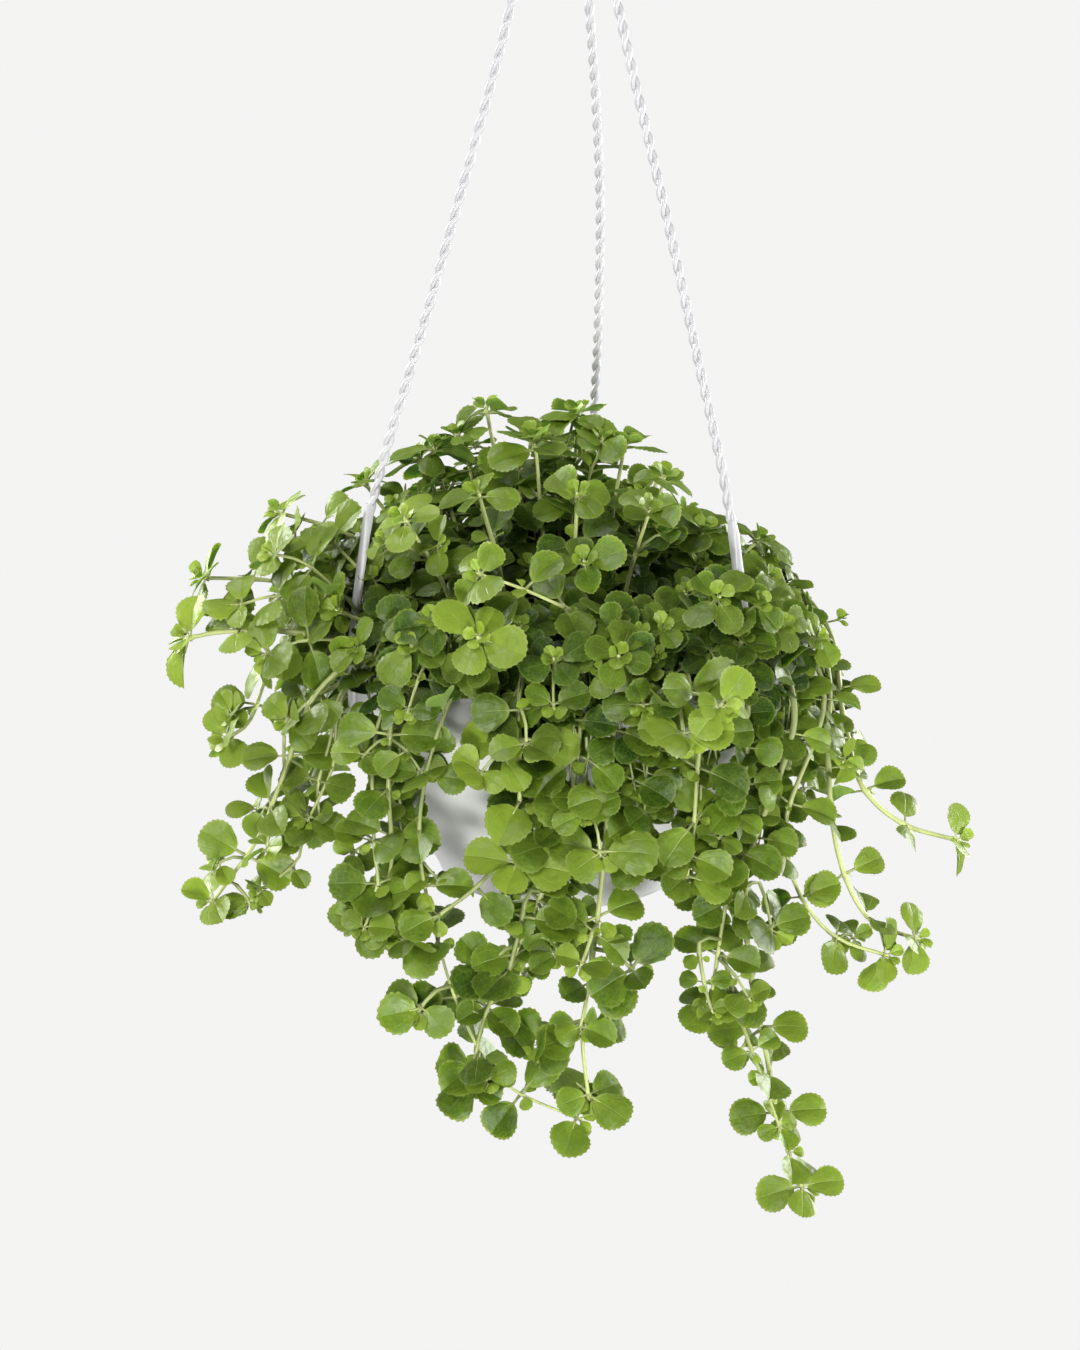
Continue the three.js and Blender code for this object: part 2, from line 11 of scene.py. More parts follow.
import bpy
import numpy as np
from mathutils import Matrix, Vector

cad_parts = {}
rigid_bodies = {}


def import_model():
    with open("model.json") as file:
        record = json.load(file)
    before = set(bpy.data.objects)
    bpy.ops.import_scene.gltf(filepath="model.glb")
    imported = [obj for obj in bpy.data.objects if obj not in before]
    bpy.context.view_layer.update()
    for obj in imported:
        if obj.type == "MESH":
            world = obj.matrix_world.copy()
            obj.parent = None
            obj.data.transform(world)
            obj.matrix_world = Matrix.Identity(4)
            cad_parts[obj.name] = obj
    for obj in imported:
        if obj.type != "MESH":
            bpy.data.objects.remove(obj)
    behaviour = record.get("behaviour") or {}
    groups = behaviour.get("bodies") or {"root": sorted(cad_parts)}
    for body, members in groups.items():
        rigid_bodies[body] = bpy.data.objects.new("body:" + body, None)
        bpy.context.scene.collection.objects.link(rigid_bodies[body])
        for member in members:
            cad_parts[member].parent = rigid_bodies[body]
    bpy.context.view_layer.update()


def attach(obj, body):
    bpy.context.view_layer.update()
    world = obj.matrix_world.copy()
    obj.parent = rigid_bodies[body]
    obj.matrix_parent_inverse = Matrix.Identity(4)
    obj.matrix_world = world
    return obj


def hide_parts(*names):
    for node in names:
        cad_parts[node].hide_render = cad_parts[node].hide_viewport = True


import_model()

MM = 0.001
HANG_HEIGHT = 290.0
TURN = 2 * math.pi

# The pot and the soil, as in the solids.
RIM_RADIUS = 70.0
BAND_HEIGHT = 16.0
BAND_STEP = 2.6
POT_HEIGHT = 80.0
BASE_RADIUS = 41.0
WALL_THICKNESS = 1.8
WALL_BULGE = 2.0
CORNER_RADIUS = 3.0
SOIL_TOP = -8.0
HOLE_DEPTH = 8.0

# The hanger.
HUB_HEIGHT = 252.0
HOOK_RADIUS = 9.0
HOOK_WIRE = 2.0
HOOK_CENTRE = HUB_HEIGHT + 31
ARM_FOOT = 44.0
STRAND_RADIUS = 0.82
STRAND_OFFSET = 0.72
STRAND_PITCH = 11.0

# Stems and leaves.
STEM_RADIUS = 0.98
TIP_RADIUS = 0.55
TIP_LENGTH = 2.0
NODE_LENGTH = 1.4
BARE_RUN = 14.0
GAP = 0.3
STALK_SHARE = 0.2
BLADE_THICKNESS = 0.36
LOWER_PAIRS = 6
LOWER_PAIRS_FROM = 30
BUD_TURN = 35
BUD_LIFT = 0.5
CHILD_SIZE = 0.72
CROWN_SPACING = 17
MOST_PAIRS = 6
GOLDEN_ANGLE = 2.39996

# Points round each shape and steps along it, the stem's step in millimetres.
POT_SIDES = 112
SOIL_SIDES = 120
HUB_SIDES = 48
HOOK_SIDES = 14
HOOK_STEPS = 90
STRAND_SIDES = 8
STRAP_SIDES = 16
STRAP_STEPS = 49
STEM_SIDES = 6
STEM_STEP = 3.5

# Crumbs on the soil, and how far out they lie.
CRUMBS = 240
CRUMB_SPREAD = 62

# Shoots that fill the mound, shoots that hang over the rim, and the pieces that they make up.
CROWN_FILL = 150
SKIRT = 90
FILL_PIECES = 12
FILL_SEED = 300
SKIRT_SEED = 600
ADDED_SEED = 700

# The solids' leaves are larger than the real ones. Here they come down to these shares.
CROWN_FINER = 0.8
TOP_FINER = 0.92
REACHING_FINER = 0.9

# Crown stems: tip, leaf length, pairs of leaves below the rosette at the tip.
CROWN = {
    "crown_top_left": ((-25, 22, 67), 17, 2),
    "crown_top_middle": ((-9, -6, 63), 20, 1),
    "crown_top_back": ((4, 27, 65), 17, 2),
    "crown_top_right": ((19, 8, 59), 18, 1),
    "crown_upper_right": ((30, 20, 45), 17, 2),
    "crown_middle_right": ((26, -36, 51), 18, 1),
    "crown_upper_left": ((-46, 14, 53), 18, 1),
    "crown_bright_left": ((-48, -46, 51), 18, 1),
    "crown_left": ((-64, 14, 45), 18, 1),
    "crown_front_bright": ((-25, -86, 27), 20, 1),
    "crown_front_left": ((-45, -76, 21), 18, 1),
    "crown_front_middle": ((6, -60, 42), 17, 1),
    "crown_front_star": ((16, -88, 22), 17, 1),
    "crown_front_right": ((46, -66, 33), 18, 1),
    "crown_right_top": ((62, 2, 30), 17, 1),
    "crown_right": ((71, -30, 14), 17, 1),
    "crown_left_front": ((-69, -47, 22), 18, 1),
    "crown_back_right": ((40, 56, 22), 19, 1),
    "crown_back_middle": ((-4, 62, 46), 19, 1),
    "crown_back_left": ((-48, 52, 42), 19, 1),
    "crown_right_back": ((69, 23, 6), 17, 1),
    "crown_left_back": ((-80, 34, 20), 18, 1),
    "crown_inner_left": ((-26, -36, 56), 18, 1),
    "crown_inner_front": ((4, -33, 55), 17, 1),
    "crown_inner_right": ((44, -14, 38), 17, 1),
    "crown_low_back_right": ((24, 84, 20), 19, 1),
    "crown_low_back_left": ((-34, 82, 20), 19, 1),
    "crown_low_right": ((64, 46, 8), 18, 1),
}

# Reaching stems: root, leaf length, pairs, spacing of the pairs, and the points they pass.
REACHING = {
    "left_high_stem": ((-46, -6), 13, 3, 13, [(-60, -6, 28), (-76, -8, 37), (-90, -8, 41)]),
    "left_upper_stem": ((-52, -16), 15, 3, 14, [(-66, -17, 15), (-90, -22, 23), (-112, -25, 25)]),
    "left_long_stem": (
        (-44, -32), 16, 3, 16, [(-62, -44, 9), (-84, -44, 14), (-106, -42, 13), (-116, -40, 10)]),
    "left_lower_stem": (
        (-56, 4), 15, 3, 14, [(-73, -6, 9), (-90, -22, -2), (-98, -40, -18), (-105, -42, -22)]),
    "left_trailing_stem": (
        (-42, -38), 15, 4, 19,
        [(-58, -52, 10), (-74, -58, 0), (-86, -54, -30), (-94, -52, -50), (-110, -50, -74)]),
    "front_left_stem": (
        (-34, -45), 17, 4, 17,
        [(-43, -60, 9), (-50, -76, 3), (-52, -80, -22), (-52, -74, -50), (-58, -70, -74)]),
    "front_left_long_stem": (
        (-22, -52), 17, 6, 19,
        [(-28, -68, 9), (-36, -84, 0), (-43, -83, -36), (-38, -80, -72), (-30, -82, -98), (-18, -84, -118),
         (6, -84, -131)]),
    "front_rosette_stem": (
        (-12, -54), 20, 2, 20, [(-13, -74, 8), (-13, -87, -6), (-13, -87, -24), (-14, -86, -46)]),
    "front_middle_stem": (
        (3, -55), 17, 4, 20, [(5, -74, 8), (4, -85, -12), (-3, -83, -44), (-12, -82, -70), (-24, -80, -96)]),
    "front_long_stem": (
        (17, -53), 18, 6, 20,
        [(16, -74, 8), (14, -85, -14), (12, -84, -44), (9, -84, -76), (6, -84, -102), (8, -84, -124)]),
    "front_bright_stem": ((28, -48), 22, 1, 14, [(32, -70, 9), (34, -86, 6), (35, -93, -2)]),
    "right_front_stem": (
        (38, -41), 17, 3, 18, [(42, -64, 8), (40, -78, -12), (39, -78, -34), (37, -77, -54)]),
    "right_cluster_stem": (
        (45, -34), 16, 4, 17,
        [(54, -56, 8), (55, -68, -12), (52, -68, -44), (48, -70, -76), (45, -71, -100)]),
    "right_trailing_stem": (
        (50, -26), 17, 6, 17,
        [(62, -38, 9), (70, -54, -8), (56, -64, -56), (58, -60, -90), (64, -56, -122), (70, -50, -152),
         (78, -42, -178)]),
    "right_lower_stem": (
        (54, -15), 15, 4, 17,
        [(70, -24, 9), (80, -40, -8), (68, -56, -44), (73, -52, -68), (84, -54, -82), (102, -52, -90)]),
    "right_down_stem": (
        (56, -4), 15, 4, 17,
        [(74, -8, 9), (82, -24, -4), (82, -38, -30), (86, -46, -60), (96, -46, -80), (112, -44, -88)]),
    "right_long_stem": (
        (55, 9), 14, 4, 17,
        [(72, 10, 10), (84, -6, 1), (87, -28, -18), (93, -40, -38), (105, -42, -49), (124, -40, -56)]),
    "back_right_stem": ((42, 40), 18, 4, 18, [(58, 54, 12), (66, 62, -6), (68, 64, -36), (70, 64, -66)]),
    "back_stem": ((-14, 56), 18, 4, 18, [(-18, 76, 12), (-19, 88, -8), (-18, 90, -42), (-20, 90, -80)]),
    "back_left_stem": ((-50, 26), 18, 4, 18, [(-68, 36, 12), (-80, 44, -8), (-82, 44, -40), (-86, 42, -70)]),
}

# Long stems that have no leaves above the ones of the solids.
BARE_ABOVE = {"front_long_stem"}

# Shoots added for the look: leaf length, pairs, spacing, youth, and the points they pass. The
# first point is reached from the soil, or from the nearest main stem where it is this low, and
# a single point from the nearest main stem above it.
BRANCHES_BELOW = -45
ADDED_SHOOTS = {
    "low_left": (15, 2, 14, 0.3, [(-20, -84, -47), (-27, -86, -53), (-37, -86, -61), (-49, -84, -71)]),
    "low_middle": (
        17, 3, 18, 0.2,
        [(-10, -84, -54), (-13, -86, -66), (-17, -86, -81), (-23, -85, -93), (-28, -84, -115)]),
    "inner_middle": (13, 2, 14, 0.3, [(9, -80, -67), (8, -84, -83), (5, -86, -100)]),
    "small_right": (8, 2, 9, 0.5, [(42, -72, -75), (43, -74, -88), (46, -76, -99)]),
    "parallel": (
        10, 1, 30, 0.4, [(49, -66, -83), (54, -66, -102), (59, -64, -117), (64, -62, -132), (69, -60, -147)]),
    "left_thin": (9, 1, 12, 0.5, [(-85, -50, -40), (-81, -52, -55), (-88, -54, -63), (-95, -56, -68)]),
    "left_dark": (17, 0, 12, 0.0, [(-70, -58, -24), (-75, -60, -35), (-78, -62, -41)]),
    "right_shoulder": (12, 2, 12, 0.4, [(72, -20, -2), (80, -24, -6), (84, -28, -17), (86, -30, -31)]),
    "top_right": (12, 1, 11, 0.4, [(62, 8, 20), (67, 6, 20), (71, 2, 12)]),
    "lying": (15, 2, 14, 0.9, [(8, -54, 14), (5, -62, 25), (-6, -68, 33), (-16, -70, 38), (-26, -72, 42)]),
    "pale_upright": (13, 1, 12, 0.7, [(22, -12, 27), (23, -14, 40), (23, -16, 50)]),
    "big_rosette": (18, 1, 14, 0.3, [(7, -82, -25), (10, -90, -32), (11, -92, -40)]),
    "high_rosette": (15, 1, 12, 0.4, [(-13, -82, 6), (-11, -92, 2), (-11, -94, -5)]),
    "right_rosette": (14, 1, 12, 0.3, [(41, -72, -29), (39, -80, -37), (38, -82, -45)]),
    "right_big": (18, 0, 12, 0.1, [(60, -58, -62), (63, -64, -70), (64, -66, -76)]),
    "bright_small": (13, 1, 10, 0.8, [(9, -88, -65), (7, -92, -70), (5, -94, -75)]),
    "left_cluster": (15, 2, 13, 0.3, [(-57, -74, -45), (-56, -78, -55), (-62, -78, -68)]),
    "before_right_strap": (14, 2, 12, 0.2, [(50, -50, 14), (55, -55, 24), (58, -60, 29)]),
    "over_rim_middle": (13, 2, 11, 0.2, [(-2, -66, 16), (-3, -80, 14), (-3, -90, 6)]),
    "over_rim_left": (13, 2, 11, 0.1, [(-36, -60, 16), (-42, -74, 12), (-46, -84, 2)]),
    "over_rim_right": (13, 2, 11, 0.2, [(24, -64, 16), (24, -78, 14), (23, -90, 6)]),
    "left_above": (15, 2, 12, 0.4, [(-67, -30, 20), (-81, -32, 33), (-90, -32, 35)]),
    "left_beside": (16, 2, 13, 0.2, [(-68, -45, 12), (-80, -50, 13), (-91, -52, 9)]),
    "left_below": (15, 2, 12, 0.5, [(-66, -50, 1), (-77, -56, -4), (-84, -58, -11)]),
    "left_shoulder": (14, 2, 12, 0.6, [(-66, -20, 29), (-75, -20, 37), (-85, -20, 36)]),
    "left_between": (14, 2, 13, 0.6, [(-74, -40, 22), (-89, -40, 24), (-100, -38, 20)]),
    "left_hanging": (14, 1, 12, 0.2, [(-71, -55, -17), (-75, -58, -32), (-74, -60, -43)]),
    "left_end": (11, 1, 9, 0.6, [(-104, -51, -65), (-100, -52, -68), (-97, -53, -73)]),
    "top_low_left": (15, 2, 11, 0.3, [(-39, 10, 46), (-41, 10, 53), (-41, 10, 58)]),
    "top_left": (15, 2, 11, 0.3, [(-30, 12, 49), (-32, 12, 57), (-34, 12, 61)]),
    "top_middle_left": (15, 2, 11, 0.3, [(-14, 0, 50), (-11, -4, 60), (-10, -4, 65)]),
    "top_middle": (14, 2, 11, 0.4, [(-1, 20, 50), (2, 18, 60), (3, 18, 66)]),
    "top_middle_right": (14, 2, 11, 0.3, [(8, 10, 48), (11, 8, 56), (12, 8, 61)]),
    "top_right_side": (14, 2, 11, 0.3, [(27, -10, 40), (30, -10, 49), (31, -10, 54)]),
    "top_low_right": (14, 1, 11, 0.2, [(39, -10, 26), (42, -10, 33), (43, -10, 37)]),
    "before_strap_above": (15, 2, 10, 0.2, [(46, -50, 14), (49, -54, 26), (52, -56, 33)]),
    "before_strap_below": (14, 2, 10, 0.1, [(49, -58, 3), (51, -62, 13), (53, -64, 19)]),
    "low_pair_left": (17, 0, 9, 0.1, [(-44, -85, -94)]),
    "low_pair_inner": (17, 0, 9, 0.1, [(-24, -87, -80)]),
    "low_pair_right": (17, 0, 9, 0.1, [(22, -87, -80)]),
    "low_pair_middle": (16, 0, 9, 0.1, [(-8, -87, -105)]),
    "low_pair_below": (15, 0, 9, 0.1, [(-28, -86, -119)]),
    "rim_left_of_middle": (14, 1, 10, 0.2, [(-32, -66, 16), (-36, -72, 24), (-39, -74, 28)]),
    "rim_middle": (14, 1, 10, 0.1, [(-1, -76, 9), (-2, -82, 16), (-3, -84, 20)]),
}

# How young and yellow a stem's leaves look.
BRIGHTNESS = {
    "crown_bright_left": 1.0,
    "crown_front_bright": 1.0,
    "left_long_stem": 1.0,
    "front_rosette_stem": 1.0,
    "front_bright_stem": 1.0,
    "left_high_stem": 0.75,
    "left_upper_stem": 0.85,
    "left_lower_stem": 0.65,
    "left_trailing_stem": 0.7,
    "right_long_stem": 0.5,
    "right_down_stem": 0.5,
    "right_lower_stem": 0.45,
    "right_trailing_stem": 0.4,
    "front_long_stem": 0.35,
    "front_left_long_stem": 0.3,
    "crown_top_left": 0.3,
    "crown_top_right": 0.25,
    "front_middle_stem": 0.2,
}

# Stems that are thicker or thinner than most.
THICKER = {
    "right_long_stem": 1.25, "right_down_stem": 1.15, "left_long_stem": 1.15, "front_middle_stem": 0.8,
    "front_left_long_stem": 0.75, "right_trailing_stem": 1.15,
}

# Stems that show plainly against the background, and so have few side shoots.
OPEN_STEMS = {
    "left_high_stem", "left_upper_stem", "left_long_stem", "left_trailing_stem", "front_left_long_stem",
    "front_long_stem", "right_trailing_stem", "right_lower_stem", "right_down_stem", "right_long_stem",
}

# Arms: azimuth in degrees, sideways sway and outward bow in millimetres.
ARMS = {
    "hanger_arm_left": (202, 0, 0),
    "hanger_arm_right": (-38, 0, 3),
    "hanger_arm_back": (82, 6, 0),
}

# An arm's distance from the middle, and its height.
ARM_ROUTE = [(6.2, HUB_HEIGHT - 0.7), (17, 199), (36, 135), (51, 88), (60, 61), (64.7, ARM_FOOT)]

# A strap's distance from the middle, height, half width and half thickness, from the strands
# down over the band to the barb.
STRAP_ROUTE = [
    (64.1, 48.5, 0.9, 1.2), (64.9, 44, 1.5, 1.45), (66.3, 36, 1.9, 1.1), (67.6, 28, 2.5, 0.85),
    (68.8, 20, 2.6, 0.85), (70.2, 9, 2.5, 0.85), (71.15, 3, 2.5, 0.85), (71.25, -4, 2.5, 0.85),
    (71.25, -12, 2.5, 0.85), (71.2, -16.2, 2.5, 0.85), (70.7, -17.3, 2.45, 0.8),
    (69.6, -17.5, 2.4, 0.75), (68.7, -17.5, 2.2, 0.6),
]

# The same strap as straight runs, for the cells that it takes.
STRAP_HEIGHTS = (-18, 3, 21, ARM_FOOT)
STRAP_RADII = (71.2, 71.2, 68.8, 65)

UP = np.array([0, 0, 1])
TO_FRONT = np.array([0, -0.945, 0.326])


def draw(seed, count):
    """A number from 0 to 1 that is always the same for the same seed and count."""
    wave = math.sin(seed * 12.9898 + count * 78.233) * 43758.5453
    return wave - math.floor(wave)


def unit(vectors):
    """The same vectors, one long each."""
    vectors = np.asarray(vectors, float)
    return vectors / np.maximum(np.linalg.norm(vectors, axis=-1, keepdims=True), 1e-9)


# Finishes.

def node(tree, kind, **values):
    """Adds a shader node. Keys name its sockets or its settings, with _ for a space."""
    made = tree.nodes.new(kind)
    for key, value in values.items():
        name = key.replace("_", " ")
        if name in made.inputs:
            if isinstance(value, bpy.types.NodeSocket):
                tree.links.new(value, made.inputs[name])
            else:
                made.inputs[name].default_value = value
        else:
            setattr(made, key, value)
    return made


def math_node(tree, operation, first, second=0.0, clamp=False):
    """The result of a math node on two numbers or sockets."""
    made = tree.nodes.new("ShaderNodeMath")
    made.operation = operation
    made.use_clamp = clamp
    for socket, value in zip(made.inputs, (first, second)):
        if isinstance(value, bpy.types.NodeSocket):
            tree.links.new(value, socket)
        else:
            socket.default_value = value
    return made.outputs[0]


def blend_colours(tree, share, first, second):
    """A colour between first and second, by share."""
    made = tree.nodes.new("ShaderNodeMix")
    made.data_type = "RGBA"
    for index, value in ((0, share), (6, first), (7, second)):
        if isinstance(value, bpy.types.NodeSocket):
            tree.links.new(value, made.inputs[index])
        elif index == 0:
            made.inputs[index].default_value = value
        else:
            made.inputs[index].default_value = (*value, 1)
    return made.outputs[2]


def between(tree, value, low, high):
    """A smooth step from 0 at low to 1 at high."""
    made = tree.nodes.new("ShaderNodeMapRange")
    made.interpolation_type = "SMOOTHSTEP"
    tree.links.new(value, made.inputs[0])
    made.inputs[1].default_value = low
    made.inputs[2].default_value = high
    return made.outputs[0]


def noise(tree, scale, detail=2.0):
    """A noise pattern on the object's own coordinates, with scale waves to a metre."""
    coordinates = tree.nodes.new("ShaderNodeTexCoord").outputs["Object"]
    made = node(tree, "ShaderNodeTexNoise", Scale=scale, Detail=detail, Vector=coordinates)
    return made.outputs[0]


def new_finish(name, **values):
    """A material with one Principled shader, whose sockets take the values."""
    material = bpy.data.materials.new(name)
    material.use_nodes = True
    tree = material.node_tree
    shader = tree.nodes["Principled BSDF"]
    for key, value in values.items():
        shader.inputs[key.replace("_", " ")].default_value = value
    return material, tree, shader


def times(tree, first, second):
    """The product of two numbers or sockets."""
    return math_node(tree, "MULTIPLY", first, second)


def plus(tree, first, second, clamp=False):
    """The sum of two numbers or sockets, kept from 0 to 1 if clamp."""
    return math_node(tree, "ADD", first, second, clamp)


def minus(tree, first, second):
    """The difference of two numbers or sockets."""
    return math_node(tree, "SUBTRACT", first, second)


def falling(tree, value, low, high):
    """A smooth step from 1 at low to 0 at high."""
    return minus(tree, 1.0, between(tree, value, low, high))


def attribute(tree, name):
    """The mesh's own value of that name."""
    return node(tree, "ShaderNodeAttribute", attribute_name=name).outputs["Fac"]


def bump(tree, shader, height, strength, distance):
    """Raises the shader's surface by height times distance, in metres, softened by strength."""
    made = node(tree, "ShaderNodeBump", Strength=strength, Distance=distance, Height=height)
    tree.links.new(made.outputs[0], shader.inputs["Normal"])


# The leaf's colours: a dark green that is both the leaves' own darker tone and painted shade deep in the
# mass, a mid green, and the yellow green of young growth, which is also painted light at the sides.
DARK_LEAF = (0.01, 0.036, 0.002)
MID_LEAF = (0.104, 0.178, 0.0088)
YOUNG_AND_LIT_LEAF = (0.29, 0.405, 0.04)
LEAF_VEIN = (0.34, 0.46, 0.1)
LEAF_UNDERSIDE = (0.24, 0.36, 0.09)

# The other finishes' colours.
# The old stem colour is also painted shade for the fill and skirt stems inside the foliage.
OLD_AND_SHADED_STEM = (0.07, 0.11, 0.02)
YOUNG_STEM = (0.62, 0.7, 0.26)
STEM_FLECK = (0.17, 0.2, 0.06)
POT_SHADES = ((0.9, 0.915, 0.9), (0.945, 0.95, 0.94))
HANGER_SHADES = ((0.5, 0.5, 0.51), (0.6, 0.6, 0.61))
SOIL_SHADES = ((0.012, 0.009, 0.006), (0.07, 0.045, 0.025))

# Patterns, in waves to a metre.
LEAF_MOTTLE = 380.0
LEAF_SWELLS = 260.0
STEM_MOTTLE = 260.0
STEM_RIDGES = 900.0
POT_CLOUDS = 34.0
POT_PEEL = 420.0
HANGER_CLOUDS = 120.0
HANGER_PEEL = 700.0
SOIL_GRAINS = 620.0

# Patterns on a leaf, in cells along the blade.
LEAF_THREADS = 9.0
LEAF_QUILTING = 7.0

# The blade in shares of its length: a round end about its middle, after a wedge from its foot.
BLADE_MIDDLE = 0.53
BLADE_REACH = 0.47


def leaf_veins(tree, aside, outwards):
    """A midrib, and a fainter vein at each side that leaves the blade's foot on a sine arc. All
    fade towards the tip."""
    arc = times(tree, math_node(tree, "SINE", times(tree, outwards, 1.9)), 0.62)
    off_arc = math_node(tree, "ABSOLUTE", minus(tree, aside, arc))
    fading = falling(tree, outwards, 0.5, 1.0)
    midrib = falling(tree, aside, 0.008, 0.042)
    side_vein = falling(tree, off_arc, 0.008, 0.035)
    return times(tree, fading, math_node(tree, "MAXIMUM", midrib, times(tree, side_vein, 0.4)))


def leaf_margin(tree, aside, outwards):
    """Rises to 1 at the blade's edge, where its reach sqrt(aside^2 + ((outwards - middle) /
    reach)^2) comes to 1."""
    from_middle = math_node(tree, "DIVIDE", minus(tree, outwards, BLADE_MIDDLE), BLADE_REACH)
    squares = plus(tree, math_node(tree, "POWER", aside, 2.0), times(tree, from_middle, from_middle))
    return between(tree, math_node(tree, "SQRT", squares), 0.84, 0.98)


def make_leaf_finish():
    """Green by each leaf's tone and youth, which carry its own colour and also painted shade and
    painted light, with veins, a fine net, a paler margin and underside, and soft quilting."""
    material, tree, shader = new_finish(
        "leaf_blade", Roughness=0.4, Subsurface_Weight=0.22, Subsurface_Scale=0.0012)
    shader.inputs["Subsurface Radius"].default_value = (0.6, 1.0, 0.15)
    tone_and_shade = attribute(tree, "tone_and_shade")
    place = tree.nodes.new("ShaderNodeUVMap").outputs[0]
    split = node(tree, "ShaderNodeSeparateXYZ", Vector=place)
    aside = times(tree, math_node(tree, "ABSOLUTE", minus(tree, split.outputs[0], 0.5)), 2.0)
    outwards = split.outputs[1]
    spread = times(tree, minus(tree, noise(tree, LEAF_MOTTLE), 0.5), 0.9)
    green = blend_colours(tree, plus(tree, tone_and_shade, spread, clamp=True), DARK_LEAF, MID_LEAF)
    # The sheen falls with the tone, so the painted shade also dims the reflections.
    sheen = plus(tree, 0.18, times(tree, tone_and_shade, 0.25))
    tree.links.new(sheen, shader.inputs["Specular IOR Level"])
    foot = times(tree, falling(tree, outwards, 0.0, 0.6), times(tree, tone_and_shade, 0.3))
    young = plus(tree, attribute(tree, "youth"), foot, clamp=True)
    green = blend_colours(tree, young, green, YOUNG_AND_LIT_LEAF)
    net = node(
        tree, "ShaderNodeTexVoronoi", feature="DISTANCE_TO_EDGE", Scale=LEAF_THREADS, Vector=place)
    threads = falling(tree, net.outputs["Distance"], 0.0, 0.09)
    vein = leaf_veins(tree, aside, outwards)
    margin = leaf_margin(tree, aside, outwards)
    for line, strength in ((threads, 0.11), (vein, 0.18), (margin, 0.22)):
        green = blend_colours(tree, times(tree, line, strength), green, LEAF_VEIN)
    green = blend_colours(tree, times(tree, attribute(tree, "under"), 0.55), green, LEAF_UNDERSIDE)
    tree.links.new(green, shader.inputs["Base Color"])
    cells = node(tree, "ShaderNodeTexVoronoi", Scale=LEAF_QUILTING, Vector=place)
    quilt = plus(tree, times(tree, cells.outputs[0], 0.5), times(tree, vein, -0.6))
    swells = times(tree, noise(tree, LEAF_SWELLS, 1.0), 3.0)
    bump(tree, shader, plus(tree, quilt, swells), 0.36, 0.0004)
    return material


def make_stem_finish():
    """Pale yellow-green in young growth, darker and browner in old growth and, as painted shade, in the fill
    and skirt stems, with fine ridges.
    """
    material, tree, shader = new_finish("stem_green", Roughness=0.45)
    colour = blend_colours(tree, attribute(tree, "youth"), OLD_AND_SHADED_STEM, YOUNG_STEM)
    flecks = times(tree, noise(tree, STEM_MOTTLE, 3.0), 0.4)
    colour = blend_colours(tree, flecks, colour, STEM_FLECK)
    tree.links.new(colour, shader.inputs["Base Color"])
    bump(tree, shader, noise(tree, STEM_RIDGES), 0.2, 0.0003)
    return material


def make_pot_finish():
    """Thin satin white plastic with soft cloudy mottling and a slight orange-peel surface."""
    material, tree, shader = new_finish(
        "pot_white", Roughness=0.38, Subsurface_Weight=0.2, Subsurface_Scale=0.002)
    shader.inputs["Subsurface Radius"].default_value = (1.0, 1.0, 1.0)
    cloud = between(tree, noise(tree, POT_CLOUDS, 4.0), 0.3, 0.7)
    tree.links.new(blend_colours(tree, cloud, *POT_SHADES), shader.inputs["Base Color"])
    bump(tree, shader, noise(tree, POT_PEEL), 0.08, 0.0004)
    return material


def make_hanger_finish():
    """Glossy white plastic, faintly cloudy."""
    material, tree, shader = new_finish("hanger_white", Roughness=0.3)
    cloud = noise(tree, HANGER_CLOUDS)
    tree.links.new(blend_colours(tree, cloud, *HANGER_SHADES), shader.inputs["Base Color"])
    bump(tree, shader, noise(tree, HANGER_PEEL), 0.05, 0.0003)
    return material


def make_soil_finish():
    """Near-black damp peat with brown flecks and a rough surface."""
    material, tree, shader = new_finish("soil_dark", Roughness=0.92)
    grains = noise(tree, SOIL_GRAINS, 5.0)
    flecks = between(tree, grains, 0.45, 0.75)
    tree.links.new(blend_colours(tree, flecks, *SOIL_SHADES), shader.inputs["Base Color"])
    bump(tree, shader, grains, 0.8, 0.001)
    return material


leaf_finish = make_leaf_finish()
stem_finish = make_stem_finish()
pot_finish = make_pot_finish()
hanger_finish = make_hanger_finish()
soil_finish = make_soil_finish()


# Meshes.

